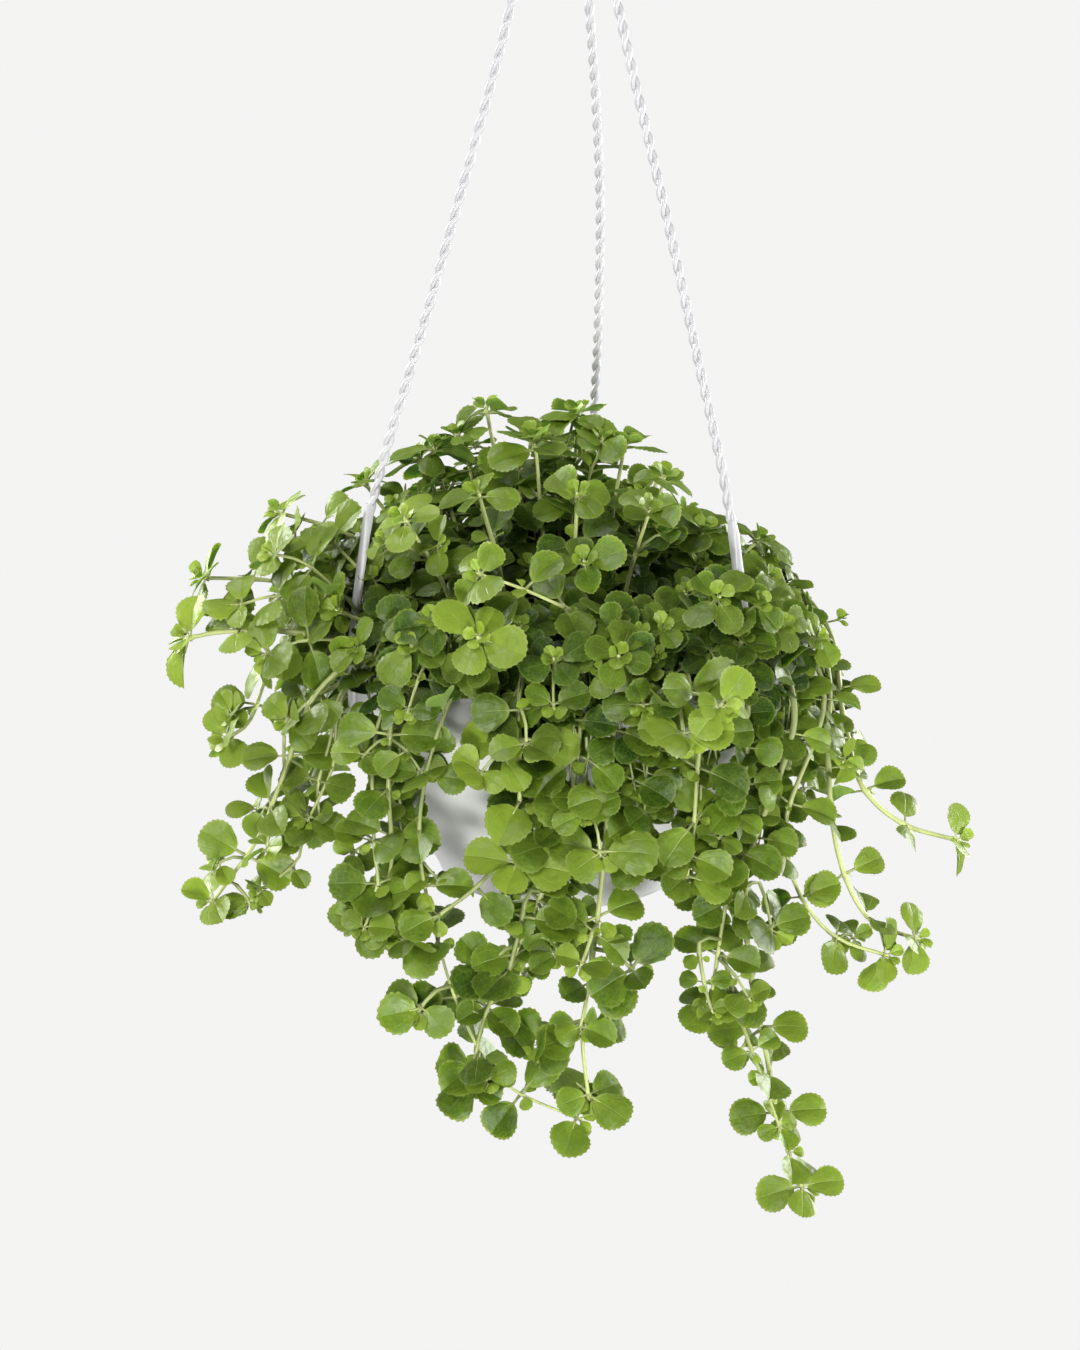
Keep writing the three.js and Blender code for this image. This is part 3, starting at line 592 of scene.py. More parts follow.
class Surfaces:
    """Collects surfaces in millimetres from the rim, and makes them one piece."""

    def __init__(self):
        self.points, self.polygons, self.looks, self.places = [], [], [], []
        self.marks = {"tone_and_shade": [], "youth": []}
        self.under, self.ribs = [], []
        self.count = 0

    def add(self, points, polygons, look=0, places=None, tone_and_shade=0.5, youth=0.0, under=None, rib=False):
        """points (n, 3); polygons are index arrays; places are the points' UV coordinates; tone,
        youth and rib hold for all points or each, and under for each polygon array's faces."""
        count = len(points)
        self.points.append(np.asarray(points, float))
        self.places.append(np.zeros((count, 2)) if places is None else places)
        self.marks["tone_and_shade"].append(np.broadcast_to(np.asarray(tone_and_shade, float), (count,)))
        self.marks["youth"].append(np.broadcast_to(np.asarray(youth, float), (count,)))
        self.ribs.append(np.broadcast_to(rib, (count,)))
        for number, faces in enumerate(polygons):
            self.polygons.append(np.asarray(faces) + self.count)
            self.looks.append(np.full(len(faces), look))
            self.under.append(np.zeros(len(faces)) if under is None else under[number])
        self.count += count

    def make(self, name, finishes, replaces=(), sharp_angle=None):
        """One object at the origin that rides on the root and what it replaces."""
        points = (np.concatenate(self.points) - (0, 0, HANG_HEIGHT)) * MM
        corners = np.concatenate([faces.ravel() for faces in self.polygons])
        sizes = np.concatenate([np.full(len(faces), faces.shape[1]) for faces in self.polygons])
        starts = np.concatenate(([0], np.cumsum(sizes)[:-1]))
        mesh = bpy.data.meshes.new(name)
        mesh.vertices.add(len(points))
        mesh.vertices.foreach_set("co", points.ravel())
        mesh.loops.add(len(corners))
        mesh.polygons.add(len(sizes))
        mesh.polygons.foreach_set("loop_start", starts.astype(np.int32))
        mesh.polygons.foreach_set("vertices", corners.astype(np.int32))
        mesh.update(calc_edges=True)
        mesh.polygons.foreach_set("material_index", np.concatenate(self.looks).astype(np.int32))
        mesh.polygons.foreach_set("use_smooth", np.ones(len(sizes), bool))
        places = mesh.uv_layers.new(name="UVMap")
        places.data.foreach_set("uv", np.concatenate(self.places)[corners].ravel())
        for mark, values in self.marks.items():
            mesh.attributes.new(mark, "FLOAT", "POINT").data.foreach_set("value", np.concatenate(values))
        self.mark_sides(mesh, sizes)
        if sharp_angle is not None:
            mesh.set_sharp_from_angle(angle=math.radians(sharp_angle))
        for finish in finishes:
            mesh.materials.append(finish)
        piece = bpy.data.objects.new(name, mesh)
        bpy.context.scene.collection.objects.link(piece)
        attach(piece, "root")
        if replaces:
            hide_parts(*replaces)

    def mark_sides(self, mesh, sizes):
        """Stores which faces are under sides. An edge is sharp where an upper and an under side
        meet, and where both its ends are on a midrib."""
        under = np.concatenate(self.under)
        mesh.attributes.new("under", "FLOAT", "FACE").data.foreach_set("value", under)
        edges = np.empty(sizes.sum(), np.int32)
        mesh.loops.foreach_get("edge_index", edges)
        on_corners = np.repeat(under, sizes)
        lowest = np.full(len(mesh.edges), 2.0)
        highest = np.full(len(mesh.edges), -1.0)
        np.minimum.at(lowest, edges, on_corners)
        np.maximum.at(highest, edges, on_corners)
        ends = np.empty(2 * len(mesh.edges), np.int32)
        mesh.edges.foreach_get("vertices", ends)
        on_rib = np.concatenate(self.ribs)[ends.reshape(-1, 2)].all(1)
        sharp = (lowest < highest) | on_rib
        mesh.attributes.new("sharp_edge", "BOOLEAN", "EDGE").data.foreach_set("value", sharp)


def grid_faces(rows, columns):
    """Four-sided faces between rings, rows of them with columns points each."""
    i, j = np.meshgrid(np.arange(rows - 1), np.arange(columns), indexing="ij")
    after = (j + 1) % columns
    corners = (i * columns + j, i * columns + after, (i + 1) * columns + after, (i + 1) * columns + j)
    return np.stack(corners, -1).reshape(-1, 4)


def closed_faces(rows, columns):
    """The faces between rings, and a fan at each end. The ends' middles follow the rings."""
    count = rows * columns
    j = np.arange(columns)
    after = (j + 1) % columns
    top = count - columns
    fans = np.concatenate((
        np.stack((np.full(columns, count), after, j), 1),
        np.stack((np.full(columns, count + 1), top + j, top + after), 1),
    ))
    return [grid_faces(rows, columns), fans]


def turned(profile, sides):
    """A profile of (radius, height) turned about Z, whose two ends lie on the axis. Points are
    (radius cos a, radius sin a, height), and each end closes on a fan. Heights rise along it."""
    profile = np.asarray(profile, float)
    angles = np.arange(sides) / sides * TURN
    inner = profile[1:-1]
    x = inner[:, :1] * np.cos(angles)
    y = inner[:, :1] * np.sin(angles)
    z = np.repeat(inner[:, 1:], sides, 1)
    points = np.stack((x, y, z), -1).reshape(-1, 3)
    ends = np.array([[0, 0, profile[0, 1]], [0, 0, profile[-1, 1]]])
    return np.concatenate((points, ends)), closed_faces(len(inner), sides)


def smooth_route(points, per_span=20):
    """A dense polyline on the centripetal Catmull-Rom curve through the points: each span is a
    cubic whose end slopes weigh the chords by the square root of their lengths."""
    points = np.asarray(points, float)
    padded = np.vstack((2 * points[0] - points[1], points, 2 * points[-1] - points[-2]))
    p0, p1, p2, p3 = (padded[k:len(padded) - 3 + k][:, None, :] for k in range(4))
    chords = (p1 - p0, p2 - p1, p3 - p2)
    d0, d1, d2 = (np.linalg.norm(chord, axis=-1, keepdims=True) ** 0.5 for chord in chords)
    s1 = ((p1 - p0) / d0 - (p2 - p0) / (d0 + d1) + (p2 - p1) / d1) * d1
    s2 = ((p2 - p1) / d1 - (p3 - p1) / (d1 + d2) + (p3 - p2) / d2) * d1
    t = (np.arange(per_span) / per_span)[None, :, None]
    curve = p1 + s1 * t + (3 * (p2 - p1) - 2 * s1 - s2) * t ** 2 + (2 * (p1 - p2) + s1 + s2) * t ** 3
    return np.vstack((curve.reshape(-1, 3), points[-1]))


class Route:
    """A smooth route that gives points and directions at distances along it."""

    def __init__(self, points):
        self.line = smooth_route(points)
        steps = np.linalg.norm(np.diff(self.line, axis=0), axis=1)
        self.run = np.concatenate(([0], np.cumsum(steps)))
        self.length = self.run[-1]

    def at(self, distances):
        """The points at those distances."""
        distances = np.clip(distances, 0, self.length)
        return np.stack([np.interp(distances, self.run, self.line[:, k]) for k in range(3)], -1)

    def direction(self, distances):
        """The route's direction there, from a point a little before to one a little after."""
        distances = np.asarray(distances, float)
        return unit(self.at(distances + 0.4) - self.at(distances - 0.4))


def carried(reference, directions):
    """The reference direction kept square to each direction in turn."""
    kept = []
    for direction in directions:
        reference = unit(reference - np.dot(reference, direction) * direction)
        kept.append(reference)
    return np.array(kept)


def tube(centres, directions, references, radii, sides):
    """Rings of the given radii round a route, square to its direction, closed at both ends by a
    point. Ring points are centre + radius (reference cos a + side sin a)."""
    across = np.cross(directions, references)
    angles = np.arange(sides) / sides * TURN
    ring = (references[:, None, :] * np.cos(angles)[None, :, None]
            + across[:, None, :] * np.sin(angles)[None, :, None])
    points = (centres[:, None, :] + ring * np.reshape(radii, (-1, 1, 1))).reshape(-1, 3)
    first = centres[0] - directions[0] * radii[0] * 0.5
    last = centres[-1] + directions[-1] * radii[-1] * 0.8
    return np.concatenate((points, np.stack((first, last)))), closed_faces(len(centres), sides)


# Leaves.

class LeafForm:
    """One leaf's points as shares of its length: x from stem to tip, y to its side. The blade is
    a wedge from the end of the stalk and then a round end with small teeth that lean to the tip:
    notches at a little less than full reach, and points at full reach between them. A ring of
    inner points lies at 0.6 of the reach, once on the upper side and once on the under side, and
    the outline is shared. The points on the midrib are marked, so that its crease is sharp."""

    WEDGE_TURN = 142.0
    TOOTHED_TURN = 115.5
    TOOTH_LEAN = 0.14
    BROADER_OUTWARDS = 0.12
    INNER_TURN = 103
    INNER_SHARE = 0.6

    def __init__(self, teeth, notch, ring):
        outline, turns = self.toothed(teeth, notch)
        side = outline[[0, -1]] * (0.38, 0.6)
        middles = np.radians(np.linspace(-self.INNER_TURN, self.INNER_TURN, ring))
        inner = np.stack((0.54 + 0.46 * np.cos(middles), 0.5 * np.sin(middles)), 1) * self.INNER_SHARE
        points = np.concatenate(([[0, 0]], side, outline, inner, inner))
        blade = 1 - STALK_SHARE
        self.x = STALK_SHARE + blade * points[:, 0]
        self.y = blade * points[:, 1]
        self.places = np.stack((points[:, 1] + 0.5, points[:, 0]), 1)
        self.rib = np.abs(points[:, 1]) < 1e-6
        rim = 3
        upper = rim + len(outline)
        self.shell = np.zeros(len(points))
        self.shell[upper:upper + ring] = 1
        self.shell[upper + ring:] = -1
        upper_faces = np.array(self.zipped(turns, middles, rim, upper))
        under_faces = np.where(upper_faces >= upper, upper_faces + ring, upper_faces)[:, ::-1]
        self.faces = np.concatenate((upper_faces, under_faces))
        self.under = np.repeat([0.0, 1.0], len(upper_faces))

    def toothed(self, teeth, notch):
        """The outline from the wedge's one corner round the tip to the other, and its turns."""
        step = 2 * self.TOOTHED_TURN / teeth
        turns, reaches = [-self.WEDGE_TURN], [1.0]
        for k in range(teeth):
            lean = 0.5 + self.TOOTH_LEAN * np.sign(teeth // 2 - k)
            turns += [-self.TOOTHED_TURN + k * step, -self.TOOTHED_TURN + (k + lean) * step]
            reaches += [notch, 1.0]
        turns = np.radians([*turns, self.TOOTHED_TURN, self.WEDGE_TURN])
        reaches = np.array([*reaches, notch, 1.0])
        x = BLADE_MIDDLE + BLADE_REACH * reaches * np.cos(turns)
        y = 0.5 * reaches * np.sin(turns) * (1 + self.BROADER_OUTWARDS * np.cos(turns))
        return np.stack((x, y), 1), turns

    def zipped(self, turns, middles, rim, upper):
        """The upper side's faces: the wedge, a strip from the outline to the inner ring that
        steps on where the next turn comes first, and a fan from the foot to the ring."""
        last, ring = len(turns) - 1, len(middles)
        faces = [(0, 1, upper), (0, upper + ring - 1, 2), (1, rim, rim + 1), (1, rim + 1, upper)]
        faces += [(2, rim + last - 1, rim + last), (2, upper + ring - 1, rim + last - 1)]
        outer_at, inner_at = 1, 0
        while outer_at < last - 1 or inner_at < ring - 1:
            outer_gap = turns[outer_at + 1] - middles[inner_at] if outer_at < last - 1 else TURN
            inner_gap = middles[inner_at + 1] - turns[outer_at] if inner_at < ring - 1 else TURN
            if outer_gap < inner_gap:
                faces.append((upper + inner_at, rim + outer_at, rim + outer_at + 1))
                outer_at += 1
            else:
                faces.append((upper + inner_at, rim + outer_at, upper + inner_at + 1))
                faces.append((0, upper + inner_at, upper + inner_at + 1))
                inner_at += 1
        return faces


def height_over(leaves, x, y):
    """A blade's height over its flat, as a share of its length: it rises by lift, droops with
    the square of x, folds up from the midrib, droops with the square of y, and ripples."""
    column = {key: leaves[key][:, None] for key in ("lift", "droop", "fold", "side", "phase")}
    ripple = 0.022 * np.sin(9 * x + column["phase"]) * np.abs(y) / 0.4
    return (column["lift"] * x - column["droop"] * x ** 2 + column["fold"] * np.abs(y)
            - column["side"] * y ** 2 + ripple)


def leaf_points(leaves, x, y, raised=0.0):
    """Points base + length (x along + y width across + height up), raised millimetres more."""
    base, along, across, up = (leaves[key][:, None, :] for key in ("base", "along", "across", "up"))
    length = leaves["length"][:, None, None]
    broad = (y * leaves["width"][:, None])[:, :, None]
    height = height_over(leaves, x, y)[:, :, None]
    shape = x[None, :, None] * along + broad * across + height * up
    return base + length * shape + np.reshape(raised, (1, -1, 1)) * up


def add_leaves(surfaces, leaves, form):
    """Adds the leaves' blades, and a four-sided stalk for each that runs on under the midrib."""
    count, size = len(leaves["length"]), len(form.x)
    points = leaf_points(leaves, form.x, form.y, form.shell * BLADE_THICKNESS / 2)
    offsets = (np.arange(count) * size)[:, None, None]
    surfaces.add(
        points.reshape(-1, 3), [(form.faces[None] + offsets).reshape(-1, 3)], 0,
        np.tile(form.places, (count, 1)), np.repeat(leaves["tone_and_shade"], size), np.repeat(leaves["youth"], size),
        [np.tile(form.under, count)], np.tile(form.rib, count))
    runs = np.array([0.0, 0.5 * STALK_SHARE, STALK_SHARE, STALK_SHARE + 0.16])
    centre = leaf_points(leaves, runs, np.zeros(4), np.array([0, 0, -0.12, -0.3]))
    taper = np.array([1.25, 1, 1, 0.45])[None, :, None]
    thick = (leaves["length"] * 0.03).clip(0.18, 0.5)[:, None, None] * taper
    sides = (1, 0), (0, 1), (-1, 0), (0, -1)
    rings = np.stack([
        centre + thick * (across * leaves["across"][:, None, :] + up * leaves["up"][:, None, :])
        for across, up in sides
    ], 2)
    faces = np.concatenate((grid_faces(4, 4), [[3, 2, 1, 0], [12, 13, 14, 15]]))
    corners = len(runs) * len(sides)
    offsets = (np.arange(count) * corners)[:, None, None]
    # The stalk's colour follows its blade's tone, and so its painted shade too.
    youth = 0.12 + 0.45 * leaves["tone_and_shade"] + 0.5 * leaves["youth"]
    surfaces.add(
        rings.reshape(-1, 3), [(faces[None] + offsets).reshape(-1, 4)], 1, youth=np.repeat(youth, corners))


LEAF_KEYS = (
    "base", "along", "across", "up", "length", "lift", "droop", "fold", "side", "width", "phase",
    "tone_and_shade", "youth")


def gathered(leaves):
    """Turns a list of leaves into one array for each of their values."""
    return {key: np.array([leaf[key] for leaf in leaves], float) for key in LEAF_KEYS}


# Room between the leaves.

class Room:
    """Cells of the space round the plant, each with the number of what takes it, or 0. Leaves
    keep apart by them."""

    CELL = 1.4
    LOW = np.array([-150.0, -130.0, -205.0])
    HIGH = np.array([150.0, 130.0, 110.0])

    def __init__(self):
        self.taken = np.zeros(((self.HIGH - self.LOW) / self.CELL).astype(int) + 1, np.int32)

    def cells(self, points):
        """The indices of the points' cells."""
        inside = np.clip(points.reshape(-1, 3), self.LOW, self.HIGH)
        return tuple(((inside - self.LOW) / self.CELL).astype(int).T)

    def mark(self, points, number):
        """Takes the points' cells."""
        self.taken[self.cells(points)] = number

    def crowded(self, points, own):
        """The share of the points whose cells are taken by another number."""
        found = self.taken[self.cells(points)]
        return np.count_nonzero((found != 0) & (found != own)) / len(found)


room = Room()
POT_NUMBER = 99998
HANGER_NUMBER = 99999

# The share of a blade that may lie in taken cells, by what it grows on.
MAIN_CROWDING = 0.08
ADDED_CROWDING = 0.1
FILL_CROWDING = 0.06

# Points over a blade that are tried against the room, as shares of its length.
sample_x, sample_y = (
    grid.ravel() for grid in np.meshgrid(np.linspace(0.36, 0.98, 8), np.linspace(-0.36, 0.36, 8)))
within = ((sample_x - 0.66) / 0.36) ** 2 + (sample_y / 0.42) ** 2 < 1
sample_x, sample_y = sample_x[within], sample_y[within]

# What a leaf tries in turn: a swing along the stem in degrees, a share of its size, and a lift.
TRIES = [
    (0, 1, 0), (20, 1, 0), (-20, 1, 0), (0, 1, 0.3), (0, 1, -0.3), (20, 0.88, 0.3), (-20, 0.88, 0.3),
    (20, 0.88, -0.3), (-20, 0.88, -0.3), (0, 0.78, 0.5), (0, 0.78, -0.5), (0, 0.65, 0),
]


def facing_at(point, seed, count, stray=0.5):
    """Leaves face up, a little to the front, and more outwards further from the middle. Each
    strays from that by its own draw, and one in three strays far."""
    stray *= 2.2 if draw(seed, count + 70) > 0.66 else 1.0
    back = 0.14 * min(max((point[2] - 26) / 26, 0), 1)
    return unit([
        point[0] / 150 + stray * (draw(seed, count + 50) - 0.5),
        point[1] / 100 - 0.15 + back + stray * (draw(seed, count + 60) - 0.5),
        0.85,
    ])


def make_leaf(base, outward, stemway, light, turn, length, lift, seed, count, youth):
    """One leaf that leaves the stem outwards, swung along the stem by turn, with its upper side
    towards the light as far as that allows."""
    swing = stemway * math.tan(math.radians(turn) * 0.6)
    along = unit(outward - 0.55 * np.dot(outward, light) * light + swing)
    across = unit(np.cross(light, along))
    return {
        "base": base, "along": along, "across": across, "up": np.cross(along, across), "length": length,
        "lift": lift, "youth": youth, "tone_and_shade": draw(seed, count + 29),
        "droop": 0.2 + 0.26 * draw(seed, count + 11), "fold": 0.06 + 0.5 * draw(seed, count + 13),
        "side": -0.15 + 1.25 * draw(seed, count + 17), "width": 0.86 + 0.22 * draw(seed, count + 19),
        "phase": 6.3 * draw(seed, count + 23),
    }


def fit_leaf(number, most, confined, base, outward, stemway, light, turn, length, lift, *draws):
    """The first try whose blade meets at most that share of taken cells, or None. confined is a
    test that the blade's middle also passes."""
    for swing, size, tilt in TRIES:
        leaf = make_leaf(base, outward, stemway, light, turn + swing, length * size, lift + tilt, *draws)
        points = leaf_points(gathered([leaf]), sample_x, sample_y)
        if confined and not confined(points[0].mean(0)):
            continue
        if room.crowded(points, number) <= most:
            room.mark(points, number)
            return leaf
    return None


class Shoot:
    """A stem on a smooth route, with leaves at nodes counted back from its tip: four in the
    rosette at the tip, and opposite pairs, each square to the next, below it."""

    numbers = iter(range(1, POT_NUMBER))

    def __init__(
            self, seed, points, leaf, pairs, spacing, bright=0.0, thickness=1.0, piece=None,
            pale=(0.0, 0.35)):
        self.seed, self.leaf, self.spacing, self.bright, self.piece = seed, leaf, spacing, bright, piece
        self.route = Route(points)
        # The default low range, taken by the fill and skirt stems, is painted shade. Stems of the solids and
        # their side shoots pale towards the tip as young growth.
        self.pale = (0.15, 0.85) if piece else pale
        self.thickness = thickness
        length = self.route.length
        self.nodes = [(length - TIP_LENGTH - k * spacing, k) for k in range(pairs + 1)][::-1]
        self.nodes = [(distance, order) for distance, order in self.nodes if distance > 2.5]
        first = self.nodes[0][0] if self.nodes else length
        bare = max(2, round(first / BARE_RUN))
        distances = [HOLE_DEPTH if k == 1 else k / bare * first for k in range(bare)]
        for k, (distance, _) in enumerate(self.nodes):
            distances += [distance - NODE_LENGTH / 2, distance + NODE_LENGTH / 2]
            if k + 1 < len(self.nodes) and self.nodes[k + 1][0] - distance > BARE_RUN:
                distances.append((distance + self.nodes[k + 1][0]) / 2)
        self.distances = np.array(sorted(distances + [length]))
        roll = draw(seed, 0) * math.pi
        self.references = carried(
            np.array([math.cos(roll), math.sin(roll), 0]), self.route.direction(self.distances))
        self.leaves = []
        self.children = []
        self.number = next(self.numbers)
        room.mark(self.route.at(np.arange(0, length, 1.0)), self.number)

    def radius(self, distance):
        """The stem's radius there, which falls evenly to the tip."""
        share = np.asarray(distance) / self.route.length
        return self.thickness * (STEM_RADIUS + (TIP_RADIUS - STEM_RADIUS) * share)

    def side(self, distance, number):
        """The direction out of one of the stem's four sides, at a node."""
        k = int(np.argmin(abs(self.distances - (distance - NODE_LENGTH / 2))))
        stemway = self.route.direction(self.distances[k])
        angle = (number + 0.5) * math.pi / 2
        reference = self.references[k]
        return unit(reference * math.cos(angle) + np.cross(stemway, reference) * math.sin(angle)), stemway

    def grow_node(self, distance, order, most, confined=None, size=1.0, stray=0.5):
        """The main leaves of one node: four in the rosette at the tip, or one pair."""
        for number in (0, 2, 1, 3) if order == 0 else (order % 2, order % 2 + 2):
            count = 10 * order + number
            smaller = size * (0.8 if order == 0 and number % 2 == 1 else 1.0)
            outward, stemway = self.side(distance, number)
            inwards = 0.7 * self.radius(distance) - (0.09 * self.leaf if order == 0 else 0)
            base = self.route.at(distance) + outward * inwards
            light = facing_at(base, self.seed, count, stray)
            turn = 30 * (draw(self.seed, count) - 0.5)
            length = self.leaf * smaller * (0.92 + 0.16 * draw(self.seed, count + 5))
            lift = 0.15 + 0.3 * draw(self.seed, count + 7)
            youth = self.youth_at(order) + 0.12 * (draw(self.seed, count + 31) - 0.5)
            leaf = fit_leaf(
                next(self.numbers), most, confined, base, outward, stemway, light, turn, length, lift,
                self.seed, count, min(max(youth, 0), 1))
            if leaf:
                self.leaves.append(leaf)

    def grow_lower_pairs(self):
        """Smaller pairs below the ones of the solids, on stems that reach over the rim."""
        if self.piece not in REACHING or self.piece in BARE_ABOVE:
            return
        lowest, order = self.nodes[0]
        for k in range(1, LOWER_PAIRS + 1):
            distance = lowest - k * self.spacing
            if distance > LOWER_PAIRS_FROM:
                self.grow_node(distance, order + k, ADDED_CROWDING, clear_of_bare_pot, size=0.8, stray=0.8)

    def youth_at(self, order):
        """How young the leaves of a node are: the most at the tip."""
        if self.bright:
            return self.bright * (0.68 if order == 0 else 0.42)
        return (0.3, 0.12, 0.04, 0.0)[min(order, 3)]

    def grow_buds(self):
        """Small leaves in the axils of each pair, and a bud of four small ones at the tip."""
        for distance, order in self.nodes:
            numbers = (0, 1, 2, 3) if order == 0 else (order % 2 + 1, (order % 2 + 3) % 4)
            for number in numbers:
                count = 100 + 10 * order + number
                if order and draw(self.seed, count) > (0.35 if self.piece in OPEN_STEMS else 0.75):
                    continue
                outward, stemway = self.side(distance, number)
                if order == 0:
                    length = self.leaf * (0.3 + 0.12 * draw(self.seed, count + 1))
                    outward = unit(outward + 0.5 * stemway)
                else:
                    length = self.leaf * (0.22 + 0.26 * draw(self.seed, count + 1))
                base = self.route.at(distance + 0.8) + outward * self.radius(distance) * 0.6
                light = facing_at(base, self.seed, count)
                youth = min(1.0, 0.55 + 0.35 * self.bright + 0.2 * draw(self.seed, count + 3))
                self.leaves.append(make_leaf(
                    base, outward, stemway, light, BUD_TURN, length, BUD_LIFT, self.seed, count, youth))

    def grow_children(self, chance):
        """Side shoots out of some of the axils, each with a rosette and at most one pair."""
        for distance, order in self.nodes:
            if order == 0:
                continue
            for number in (order % 2, order % 2 + 2):
                count = 200 + 10 * order + number
                if draw(self.seed, count) > chance:
                    continue
                outward, stemway = self.side(distance, number)
                start = self.route.at(distance + 1.0)
                away = unit(outward + 0.75 * stemway + np.array([0, 0, 0.25]))
                reach = 8 + 9 * draw(self.seed, count + 1)
                middle = start + away * reach * 0.5
                tip = start + away * reach + np.array([0, 0, -2.0 - 3 * draw(self.seed, count + 2)])
                child = Shoot(
                    self.seed + 0.37 * (count - 199), [start, middle, tip], self.leaf * CHILD_SIZE,
                    1 if reach > 13 else 0, 8, self.bright * 0.9, 0.6, self.piece)
                for part, nth in child.nodes:
                    child.grow_node(part, nth, FILL_CROWDING, clear_of_bare_pot, stray=0.9)
                child.grow_buds()
                if child.leaves:
                    self.children.append(child)

    def build(self, surfaces):
        """A round skin with a swelling 1 + 0.28 exp(-(distance / 1.1)^2) at each node."""
        length = self.route.length
        places = [distance for distance, _ in self.nodes]
        even = np.linspace(0, length, max(4, int(length / STEM_STEP)))
        run = np.unique(np.concatenate((even, places)))
        swelling = sum((np.exp(-((run - place) / 1.1) ** 2) for place in places), 0 * run)
        radii = self.radius(run) * (1 + 0.28 * swelling)
        directions = self.route.direction(run)
        references = carried(self.references[0], directions)
        points, faces = tube(self.route.at(run), directions, references, radii, STEM_SIDES)
        share = np.concatenate((np.repeat(run / length, STEM_SIDES), [0, 1]))
        low, more = self.pale
        youth = low + more * share
        surfaces.add(points, faces, 1, youth=np.clip(youth + 0.3 * self.bright * share, 0, 1))
        for child in self.children:
            child.build(surfaces)

    def all_leaves(self):
        """The shoot's leaves and its side shoots'."""
        return self.leaves + [leaf for child in self.children for leaf in child.all_leaves()]


# Leaves with many teeth for the main stems, fewer for the fill, and few for small leaves.
BIG_FORM = LeafForm(15, 0.938, 7)
FILL_FORM = LeafForm(11, 0.93, 7)
BUD_FORM = LeafForm(5, 0.93, 3)
BUD_LENGTH = 7.5

# Ways out of the mass, and the distances on them at which a leaf or stem is looked for. Leaves with few open
# ways get painted shade.
OPEN_WAYS = unit([
    (0, 0, 1), (0.6, 0, 0.8), (-0.6, 0, 0.8), (0, -0.6, 0.8), (0, 0.6, 0.8), (0, -1, 0.2),
    (0.9, -0.4, 0.3), (-0.9, -0.4, 0.3)])
OPEN_STEPS = np.arange(9, 33, 2.0)


def shade_leaves(shoots):
    """Paints shade and light into the leaves' colour. A leaf's tone follows the share of ways out,
    upwards and to the front, on which no other leaf or stem is met within 30 mm, so that leaves
    deep in the mass are darker as painted shade. It falls too with the depth under the mound's
    surface, and over the front of the rim, both as painted shade, and a leaf's youth falls with
    it. Young shoots stay bright, and the growth at both sides is made paler and yellower as
    painted light."""
    leaves = [leaf for shoot in shoots for leaf in shoot.all_leaves()]
    blades = gathered(leaves)
    middles = blades["base"] + blades["along"] * (0.6 * blades["length"])[:, None]
    lines = middles[:, None, None] + OPEN_WAYS[None, :, None] * OPEN_STEPS[None, None, :, None]
    met = (room.taken[room.cells(lines)] != 0).reshape(lines.shape[:3])
    shares = 1 - met.mean(2)
    depths = full_height(middles[:, 0], middles[:, 1]) - middles[:, 2]
    # Painted shade: deeper under the mound's surface, and in a patch over the front of the rim.
    inner = np.where(middles[:, 2] > -4, ((depths - 8) / 18).clip(0, 1), 0)
    heights = middles[:, 2] + DEPTH_SHARE * middles[:, 1]
    rim_shade = np.exp(-((middles[:, 0] - 8) / 62) ** 4 - ((heights - 8) / 30) ** 4)
    dimmed = (1 - 0.92 * inner) * (1 - 0.9 * rim_shade)
    # Painted light: the growth at both sides is made paler and yellower further out.
    edges = 0.24 * ((np.abs(middles[:, 0] + 4) - 50) / 40).clip(0, 1)
    for leaf, share, dim, pale in zip(leaves, shares.mean(1), dimmed, edges):
        dim += (1 - dim) * min(0.85 * leaf["youth"], 1)
        opened = min(max((share - 0.5) / 0.48, 0), 1) ** 1.4 * dim
        # The random tone is darkened by the painted shade. Youth is dimmed by it and raised by the painted
        # light at the sides.
        leaf["tone_and_shade"] = opened * (0.15 + 1.1 * leaf["tone_and_shade"])
        leaf["youth"] *= 0.3 + 0.7 * opened
        leaf["youth"] += pale * opened


def make_leafy_piece(name, shoots, big_form, replaces=()):
    """One piece of whole shoots. Large leaves have more teeth than small ones."""
    surfaces = Surfaces()
    leaves = []
    for shoot in shoots:
        shoot.build(surfaces)
        leaves += shoot.all_leaves()
    large = [leaf for leaf in leaves if leaf["length"] > BUD_LENGTH]
    small = [leaf for leaf in leaves if leaf["length"] <= BUD_LENGTH]
    for group, form in ((large, big_form), (small, BUD_FORM)):
        if group:
            add_leaves(surfaces, gathered(group), form)
    surfaces.make(name, [leaf_finish, stem_finish], replaces)


# The pot.

def wall_radius(height):
    """The pot's outside under its band: straight from foot to band, with a slight bulge."""
    wall = POT_HEIGHT - CORNER_RADIUS - BAND_HEIGHT - 0.6
    share = (np.asarray(height) + POT_HEIGHT - CORNER_RADIUS) / wall
    straight = BASE_RADIUS + (RIM_RADIUS - BAND_STEP - BASE_RADIUS) * share
    return straight + WALL_BULGE * np.sin(np.pi * np.clip(share, 0, 1))


